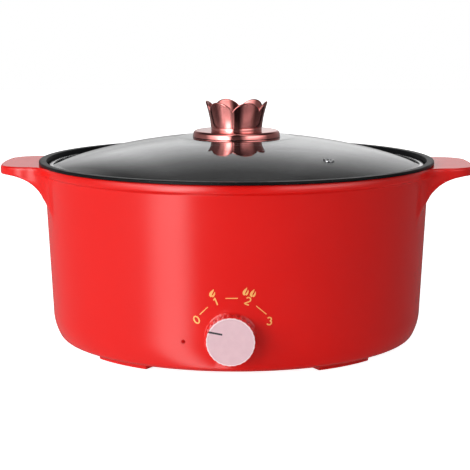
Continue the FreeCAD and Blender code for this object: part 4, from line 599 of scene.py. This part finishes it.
# ---------------------------------------------------------------- base
# Moulded base cover in the casing's red, pulled up against the casing by the nuts on the studs.
# Its four feet are moulded on, with a rubber pad pressed into each.


def dress(material, *names):
    """Gives CAD pieces their finish."""
    for name in names:
        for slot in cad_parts[name].material_slots:
            slot.material = material


dress(red_shell, "base_cover")
rubber = finish("rubber", shade(30, 30, 31), shade(40, 40, 41), 0.7, 0.85, patch=90.0,
                relief=0.3, fineness=2000.0)
dress(rubber, "rubber_feet")

# ---------------------------------------------------------------- studs and heater
# Zinc-plated steel hardware; a cast aluminium plate with a tubular element pressed into it;
# a pressed shield below; the cut-out and the fuse against the heat.
zinc = finish("zinc_plate", shade(176, 177, 178), shade(196, 196, 194), 0.28, 0.42, patch=120.0,
              relief=0.15, fineness=2500.0, Metallic=1.0)
dress(zinc, "pot_studs", "lower_spacers", "upper_spacers", "lock_washers", "stud_washers",
      "stud_nuts", "cutout_screws", "fuse_clip", "fuse_clip_screw", "inlet_screws",
      "thermostat_spindle", "lid_knob_washer", "lid_knob_screw", "earth_tag", "heat_shield")
cast = finish("cast_aluminium", shade(168, 169, 171), shade(188, 188, 189), 0.45, 0.6,
              patch=70.0, relief=0.5, fineness=1200.0, Metallic=1.0)
dress(cast, "heating_plate", "safety_cutout")
tinted = finish("heat_tinted_steel", shade(120, 112, 104), shade(146, 128, 108), 0.3, 0.45,
                patch=40.0, relief=0.2, fineness=1500.0, Metallic=1.0)
dress(tinted, "heating_element")

# ---------------------------------------------------------------- thermostat and wiring
# Phenolic housing with brass terminals and bush; a screwed terminal block; stranded leads in
# coloured sleeves; the supply socket with its three blades.
phenolic = finish("black_phenolic", shade(34, 34, 36), shade(44, 43, 44), 0.4, 0.55, patch=50.0,
                  relief=0.2, fineness=1800.0)
dress(phenolic, "thermostat_housing", "thermostat_cam", "appliance_inlet")
nylon = finish("white_nylon", shade(224, 221, 212), shade(234, 231, 224), 0.4, 0.5, patch=50.0,
               relief=0.1, fineness=1800.0)
dress(nylon, "thermostat_cover", "terminal_block", "thermal_fuse")
brass = finish("brass", shade(196, 160, 92), shade(214, 180, 112), 0.29, 0.40, patch=90.0,
               relief=0.1, fineness=2200.0, Metallic=1.0)
dress(brass, "thermostat_terminals", "thermostat_bush", "thermostat_nut", "inlet_pins")
for sleeve, tone, names in (("brown", (92, 54, 34), ("live_lead",)),
                            ("red", (168, 30, 26), ("switched_lead", "fuse_feed_lead")),
                            ("white", (222, 220, 214), ("fuse_lead", "lamp_leads")),
                            ("blue", (40, 72, 150), ("neutral_lead", "element_return_lead")),
                            ("green", (96, 148, 48), ("earth_lead",))):
    lighter = tuple(min(255, value + 14) for value in tone)
    dress(finish(f"{sleeve}_sleeve", shade(*tone), shade(*lighter), 0.45, 0.6, patch=140.0,
                 relief=0.1, fineness=2600.0), *names)

# ---------------------------------------------------------------- indicator
# A small moulded lens of red plastic, pressed into the wall from inside, with the glass bulb
# of a neon lamp behind it.
lens_red = finish("lens_red", shade(172, 2, 2), shade(184, 5, 4), 0.45, 0.55, patch=200.0,
                  relief=0.02, fineness=3000.0, Specular_IOR_Level=0.1)
dress(lens_red, "indicator_lens")
bulb = finish("bulb", shade(240, 176, 140), shade(246, 190, 156), 0.04, 0.08, patch=200.0,
              relief=0.01, fineness=3000.0, Transmission_Weight=0.8)
dress(bulb, "indicator_lamp")

# ---------------------------------------------------------------- control knob
# Silver-plated knob with a serrated side, a spun face disc let into its front and a dark
# pointer let into the disc. It is pushed onto the flat of the thermostat's spindle.
knob_back, knob_face, skirt_radius, face_radius = 153.3, 165.0, 19.0, 18.0
recess_radius, recess_floor, teeth, notch_depth = 17.0, 164.2, 27, 1.2


def make_knob():
    """Profile of radius and depth carried round the knob's axis; between the skirt and the
    front chamfer each of the teeth is a V-shaped notch between two flats, which grows
    shallower towards the front."""
    profile = rounded([
        (13.0, 156.0, 0), (15.6, knob_back, 0), (skirt_radius, knob_back, 0.2),
        (18.95, 153.9, 0.1), (18.85, 154.9, 0), (18.1, 163.0, 0), (face_radius, 164.5, 0.25),
        (17.8, knob_face, 0.2), (recess_radius, knob_face, 0.1), (recess_radius, recess_floor, 0),
        (0, recess_floor, 0), (0, 160.0, 0)], steps=5)
    per_tooth, notch_share, fades, fade_start, fade_run = 8, 0.75, 0.8, 155.6, 8.4
    side_start, side_run = 17.1, 0.3
    columns = teeth * per_tooth
    bearing = np.arange(columns) * 2 * np.pi / columns
    phase = np.abs((np.arange(columns) % per_tooth) / (per_tooth / 2) - 1.0)
    notch = np.clip(1 - phase / notch_share, 0, 1) * notch_depth
    radius, depth = profile[:, 0], profile[:, 1]
    on_side = (np.clip((radius - side_start) / side_run, 0, 1)
               * (1 - fades * np.clip((depth - fade_start) / fade_run, 0, 1)))
    reach = radius[:, None] - notch[None, :] * on_side[:, None]
    points = np.stack([reach * np.cos(bearing), np.broadcast_to(-depth[:, None], reach.shape),
                       reach * np.sin(bearing) + control_height], -1)
    faces = grid_faces(*reach.shape, wrap_rows=True)
    return make_piece("knob_body", points, faces, "control", knob_silver, 28.0)


def make_knob_silver():
    """Bright plating on the side, which goes over into a pale satin edge round the face. The
    edge's near-white colour is also a painted highlight on the rim.
    """
    material = finish("knob_silver", shade(222, 210, 212), shade(230, 220, 222), 0.16, 0.22,
                      patch=160.0, relief=0.03, fineness=2400.0, Metallic=1.0)
    satin_and_highlight_from, satin_and_highlight_to = -0.1642, -0.1646
    nodes, links = material.node_tree.nodes, material.node_tree.links
    shader = nodes["Principled BSDF"]
    place, split = nodes.new("ShaderNodeTexCoord"), nodes.new("ShaderNodeSeparateXYZ")
    edge = ranged(nodes, satin_and_highlight_from, satin_and_highlight_to)
    links.new(place.outputs["Object"], split.inputs[0])
    links.new(split.outputs["Y"], edge.inputs["Value"])
    # The front rim's near-white colour is a painted highlight, laid with a satin roughness and
    # little metal.
    for label, kind, value in (("Base Color", "RGBA", shade(255, 232, 236)),
                               ("Roughness", "FLOAT", 0.42), ("Metallic", "FLOAT", 0.15)):
        mix, socket = nodes.new("ShaderNodeMix"), shader.inputs[label]
        mix.data_type = kind
        mix.inputs["B"].default_value = value
        if socket.links:
            links.new(socket.links[0].from_socket, mix.inputs["A"])
        else:
            mix.inputs["A"].default_value = socket.default_value
        links.new(edge.outputs["Result"], mix.inputs["Factor"])
        links.new(mix.outputs["Result"], socket)
    return material


def make_pointer_line():
    """One where the pointer's line crosses the front rim of the knob, nought elsewhere. A place
    is on the line when it lies as far along the line's normal as the line's middle does, give
    or take the half width, and it counts only past the pointer's end and at the very front."""
    pointer_end, rim_front = (-0.0140, -0.0141), (-0.1640, -0.1641)
    group, entry, leave = new_group("pointer_line", (("Half Width", 0.0007),), "Value")
    nodes, links = group.nodes, group.links
    place, split = nodes.new("ShaderNodeTexCoord"), nodes.new("ShaderNodeSeparateXYZ")
    across, on_line = nodes.new("ShaderNodeVectorMath"), nodes.new("ShaderNodeMath")
    past, front = ranged(nodes, *pointer_end), ranged(nodes, *rim_front)
    tilt, middle_x, middle_z = math.radians(10.5), -0.0103, 0.0399
    across.operation, on_line.operation = "DOT_PRODUCT", "COMPARE"
    across.inputs[1].default_value = (math.sin(tilt), 0.0, math.cos(tilt))
    on_line.inputs[1].default_value = middle_x * math.sin(tilt) + middle_z * math.cos(tilt)
    links.new(place.outputs["Object"], across.inputs[0])
    links.new(place.outputs["Object"], split.inputs[0])
    links.new(across.outputs["Value"], on_line.inputs[0])
    links.new(entry.outputs["Half Width"], on_line.inputs[2])
    links.new(on_line.outputs[0], past.inputs["To Max"])
    links.new(split.outputs["X"], past.inputs["Value"])
    links.new(past.outputs["Result"], front.inputs["To Max"])
    links.new(split.outputs["Y"], front.inputs["Value"])
    links.new(front.outputs["Result"], leave.inputs["Value"])
    return group


def ink_over(material):
    """Runs the pointer's ink over a finish, where the line crosses it."""
    line = placed_group(material.node_tree.nodes, pointer_line)
    paint_over(material, line.outputs["Value"], shade(48, 44, 50))


pointer_line = make_pointer_line()
knob_silver = make_knob_silver()
ink_over(knob_silver)
knob = make_knob()
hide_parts("control_knob")
disc_face = finish("disc_face", shade(228, 193, 201), shade(233, 199, 206), 0.5, 0.6,
                   patch=220.0, relief=0.12, fineness=2600.0, Metallic=0.2)
ink_over(disc_face)
dress(disc_face, "knob_face_disc")
pointer_ink = finish("pointer_ink", shade(44, 40, 46), shade(54, 50, 56), 0.35, 0.5, patch=300.0,
                     relief=0.05, fineness=2600.0)
dress(pointer_ink, "knob_pointer")

# ---------------------------------------------------------------- dial marks
# Gold ink printed on the casing round the control: numbers for the four settings, dashes
# between them, one flame over the 1 and two over the 2.
figure_size, figure_half, dash_half, flame_high = 5.9, 0.47, 0.31, 6.2


def front_of_casing(x, z):
    """How far forward the casing is at points of the front view, found by walking inwards."""
    clear_of_it, stride, strides = -172.0, 0.9, 70
    depth = np.full(x.shape, clear_of_it)
    for _ in range(strides):
        depth = depth + stride * casing_field(x, depth, z)
    return depth


def print_strokes(name, strokes, material):
    """Ink on the casing: each stroke is a centre line with a half width at each point, made a
    thin closed strip that follows the wall a tenth of a millimetre proud of it."""
    points, faces, count, proud, sunk = [], [], 0, -0.1, 0.06
    for line, half, closed in strokes:
        line = np.asarray(line, float)
        ahead, behind = np.roll(line, -1, axis=0), np.roll(line, 1, axis=0)
        if not closed:
            ahead[-1], behind[0] = line[-1], line[0]
        along = ahead - behind
        along = along / np.maximum(np.linalg.norm(along, axis=1), 1e-9)[:, None]
        half = np.broadcast_to(half, len(line))[:, None]
        across = np.stack([along[:, 1], -along[:, 0]], -1) * half
        left, right = line - across, line + across
        x = np.stack([left[:, 0], right[:, 0], right[:, 0], left[:, 0]], -1)
        z = np.stack([left[:, 1], right[:, 1], right[:, 1], left[:, 1]], -1) + control_height
        y = front_of_casing(x, z) + np.array([proud, proud, sunk, sunk])
        points.append(np.stack([x, y, z], -1).reshape(-1, 3))
        strip = grid_faces(len(line), 4, wrap_rows=closed)
        if not closed:
            end = (len(line) - 1) * 4
            strip = np.vstack([strip, [[3, 2, 1, 0]], [[end, end + 1, end + 2, end + 3]]])
        faces.append(strip + count)
        count += len(line) * 4
    return make_piece(name, np.vstack(points), np.vstack(faces), "pot", material, 20.0)


def placed(line, angle, radius, lean):
    """A figure drawn about its own middle, scaled, leaned and set at a bearing round the knob."""
    tilt, bearing = math.radians(lean), math.radians(angle)
    leaning = np.array([[math.cos(tilt), math.sin(tilt)], [-math.sin(tilt), math.cos(tilt)]])
    middle = np.array([math.cos(bearing), math.sin(bearing)]) * radius
    return np.asarray(line, float) * figure_size @ leaning + middle


def bow(centre_x, centre_y, wide, high, start, end, count=14):
    """Points of an ellipse between two angles in degrees."""
    angle = np.radians(np.linspace(start, end, count))
    return np.stack([centre_x + wide * np.cos(angle), centre_y + high * np.sin(angle)], -1)


figure_zero = bow(0, 0, 0.30, 0.47, 0, 345, 24)
figure_one = np.vstack([np.linspace((-0.20, 0.24), (0.04, 0.47), 5),
                        np.linspace((0.05, 0.44), (0.05, -0.48), 8)])
figure_two = np.vstack([bow(0, 0.20, 0.28, 0.27, 165, -25),
                        np.linspace((0.18, -0.02), (-0.28, -0.44), 6),
                        np.linspace((-0.20, -0.46), (0.32, -0.46), 6)])
figure_three = np.vstack([bow(-0.02, 0.23, 0.25, 0.23, 150, -75),
                          bow(-0.02, -0.22, 0.29, 0.26, 75, -155, 16)])
ink_gold = finish("ink_gold", shade(255, 206, 120), shade(255, 184, 104), 0.35, 0.5, patch=260.0,
                  relief=0.05, fineness=2600.0, Metallic=0.25)
print_strokes("dial_numbers", [
    (placed(figure_zero, 152, 29, 30), figure_half, True),
    (placed(figure_one, 112, 30, 20), figure_half, False),
    (placed(figure_two, 66.5, 31, -22), figure_half, False),
    (placed(figure_three, 24.5, 31, -4), figure_half, False)], ink_gold)
print_strokes("dial_dashes", [
    (np.linspace((-23.2, 17.7), (-17.3, 23.5), 8), dash_half, False),
    (np.linspace((-4.1, 30.4), (5.0, 30.5), 8), dash_half, False),
    (np.linspace((18.5, 24.6), (26.0, 18.1), 8), dash_half, False)], ink_gold)


def flame(middle_x, middle_z):
    """A flame as two tongues that meet at its foot, each a curved line whose half width swells
    and runs out to a point at the top."""
    tall = np.array([(0.18, 0.52), (0.10, 0.34), (-0.05, 0.16), (-0.17, -0.04), (-0.19, -0.24),
                     (-0.07, -0.40)])
    short = np.array([(0.33, 0.22), (0.30, 0.04), (0.25, -0.12), (0.16, -0.27), (0.03, -0.40)])
    strokes = []
    for spine, swell in ((tall, (0.01, 0.09, 0.14, 0.16, 0.15, 0.09)),
                         (short, (0.01, 0.07, 0.09, 0.11, 0.09))):
        knots, fine = np.arange(len(spine)), np.linspace(0, len(spine) - 1, 15)
        line = np.stack([np.interp(fine, knots, spine[:, axis]) for axis in (0, 1)], -1)
        half = np.interp(fine, knots, swell) * flame_high
        strokes.append((line * flame_high + (middle_x, middle_z), half, False))
    return strokes


print_strokes("dial_flames", flame(-14.0, 33.9) + flame(10.6, 35.4) + flame(15.9, 34.1), ink_gold)

# ---------------------------------------------------------------- lid glass and band
# Tempered smoky glass, domed, with a flat seat for the knob, in a rolled steel channel that
# keeps its edge from chipping. A steel eyelet lets the steam out, and silicone rings lie
# between the glass and what the knob's screw clamps to it.
smoke = finish("smoked_glass", shade(196, 198, 200), shade(202, 204, 206), 0.0, 0.02, patch=8.0,
               relief=0.0, fineness=60.0, Transmission_Weight=1.0, IOR=1.6)
dome, edge_low, edge_high, glass_thick = 480.0, 143.9, 146.9, 3.0
flat_start, glass_edge, screw_hole = 148.5, 152.5, 6.6
seat_start, seat_level, seat_end = 38.0, 44.0, 50.0


def dome_height(radius, thickness=0.0):
    """Height of the glass at a radius: a sphere that meets the edge's flat, level inside the
    knob's seat, with a soft turn between the two."""
    sphere = dome - thickness
    level = (edge_high - thickness + np.sqrt(sphere ** 2 - radius ** 2)
             - math.sqrt(sphere ** 2 - flat_start ** 2))
    seat = level[np.argmin(np.abs(radius - seat_level))]
    blend = np.clip((radius - seat_start) / (seat_end - seat_start), 0, 1)
    return np.where(radius < seat_end, seat + (level - seat) * blend * blend, level)


out = np.concatenate([np.linspace(screw_hole, 36, 6), np.linspace(seat_start, seat_end, 9),
                      np.linspace(54, flat_start, 26)])
upper = np.stack([out, dome_height(out)], -1)
lower = np.stack([out, dome_height(out, glass_thick)], -1)
rim = rounded([(flat_start, edge_low, 0), (glass_edge, edge_low, 0.4),
               (glass_edge, edge_high, 0.4), (flat_start, edge_high, 0)], 4)
glass_outline = np.vstack([lower, rim, upper[::-1]])
glass = turned("glass_dome", glass_outline, 256, "lid", smoke, crisp=40.0)
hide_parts("lid_glass")

bright_steel = finish("bright_steel", shade(205, 205, 206), shade(216, 216, 216), 0.10, 0.16,
                      patch=60.0, relief=0.02, fineness=2200.0, Metallic=1.0)
band_in, band_out, band_low, band_high = 149.3, 153.0, 143.5, 147.3
lip_in, lip_under, channel = 149.9, 146.7, 152.6
band_outline = rounded([
    (band_in, band_low, 0.1), (band_out, band_low, 0.9), (band_out, band_high, 0.9),
    (band_in, band_high, 0.9), (lip_in, lip_under, 0.1), (channel, lip_under, 0.5),
    (channel, edge_low, 0.5), (band_in, edge_low, 0.1)], 6)
band = turned("steel_band", band_outline, 256, "lid", bright_steel)
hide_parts("lid_rim_band")
vent_steel = finish("vent_steel", shade(150, 150, 152), shade(168, 168, 170), 0.16, 0.22,
                    patch=200.0, relief=0.02, fineness=2600.0, Metallic=1.0)
dress(vent_steel, "steam_vent")
silicone = finish("silicone", shade(206, 204, 198), shade(214, 212, 207), 0.45, 0.55, patch=80.0,
                  relief=0.05, fineness=1800.0)
dress(silicone, "lid_knob_gasket", "lid_knob_seal")

# ---------------------------------------------------------------- lid knob
# Die-cast and rose-gold plated: a round flange over the gasket, and a hollow crown of six
# petals on it. One screw from below clamps both to the glass.
rose_gold = finish("rose_gold", shade(202, 124, 120), shade(208, 130, 125), 0.08, 0.12, patch=90.0,
                   relief=0.02, fineness=1800.0, Metallic=1.0)
bore, gasket_radius, gasket_top = 6.1, 30.3, 169.43
skirt_foot, flange_radius, table = 168.5, 35.8, 174.03
flange_outline = rounded([
    (bore, gasket_top, 0), (gasket_radius, gasket_top, 0.2), (gasket_radius, skirt_foot, 0.2),
    (flange_radius, skirt_foot, 0.3), (35.0, 173.6, 3.4), (30.6, 173.85, 0), (23.5, table, 0.6),
    (bore, table, 0)], 9)
flange = turned("knob_flange", flange_outline, 192, "lid", rose_gold, crisp=50.0)
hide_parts("lid_knob_base")


def make_crown():
    """Grid of bearing and level. Across, each petal is an arc that bulges between two creases;
    upwards, the radius follows a cubic through four heights; the upper edge is an arc over each
    petal, with a round lip, and the inner face follows the outer one down to a flat floor."""
    petals, per_petal, turn = 6, 40, math.radians(-6.5)
    collar, top, floor_height, wall = table + 2.3, table + 23.6, table + 6.5, 1.7
    collar_radius = 20.7
    crease, half, hump, petal_reach = 0.99, np.pi / petals, 14.0, 24.0
    number = np.arange(petals * per_petal)
    bearing = turn + number * 2 * np.pi / (petals * per_petal)
    offset = (number % per_petal / per_petal - 0.5) * 2 * half
    sagitta, chord = 1 - crease * math.cos(half), crease * math.sin(half)
    arc = (chord ** 2 + sagitta ** 2) / (2 * sagitta)
    centre = 1 - arc
    petal = centre * np.cos(offset) + np.sqrt(arc ** 2 - (centre * np.sin(offset)) ** 2)
    shares, radii = np.array([0, 0.38, 0.72, 1]), np.array([21.0, 22.2, 24.1, 26.0])
    cubic = np.polyfit(shares, radii, 3)

    def radius_at(height):
        """The petal's radius at a height, before the creases."""
        return np.polyval(cubic, (height - collar) / (top + 1.0 - collar))

    aside = petal_reach * petal * np.sin(offset)
    shoulder = top - hump + np.sqrt(hump ** 2 - aside ** 2) - wall / 2
    level = np.linspace(0, 1, 26)[:, None]
    outer_z = collar + (shoulder - collar) * level
    outer_r = radius_at(outer_z) * petal
    round_lip = np.radians(np.linspace(15, 165, 7))[:, None]
    lip_z = shoulder + wall / 2 * np.sin(round_lip)
    lip_r = radius_at(shoulder) * petal - wall / 2 + wall / 2 * np.cos(round_lip)
    inner_z = shoulder + (floor_height - shoulder) * level
    inner_r = radius_at(inner_z) * petal - wall
    low_z = np.array([table, table, collar - 0.5, collar - 0.1, collar])[:, None] + 0 * petal
    low_r = np.array([0, collar_radius, collar_radius, 20.55, 20.2])[:, None] + 0 * petal
    floor_r = inner_r[-1] * np.array([0.8, 0.4, 0.0])[:, None]
    floor_z = floor_height + 0 * floor_r
    reach = np.vstack([low_r, outer_r, lip_r, inner_r, floor_r])
    height = np.vstack([low_z, outer_z, lip_z, inner_z, floor_z])
    points = np.stack([reach * np.sin(bearing), -reach * np.cos(bearing), height], -1)
    faces = grid_faces(*reach.shape)
    return make_piece("crown", points, faces, "lid", rose_gold, crisp=45.0)


crown = make_crown()
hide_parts("lid_knob_crown")
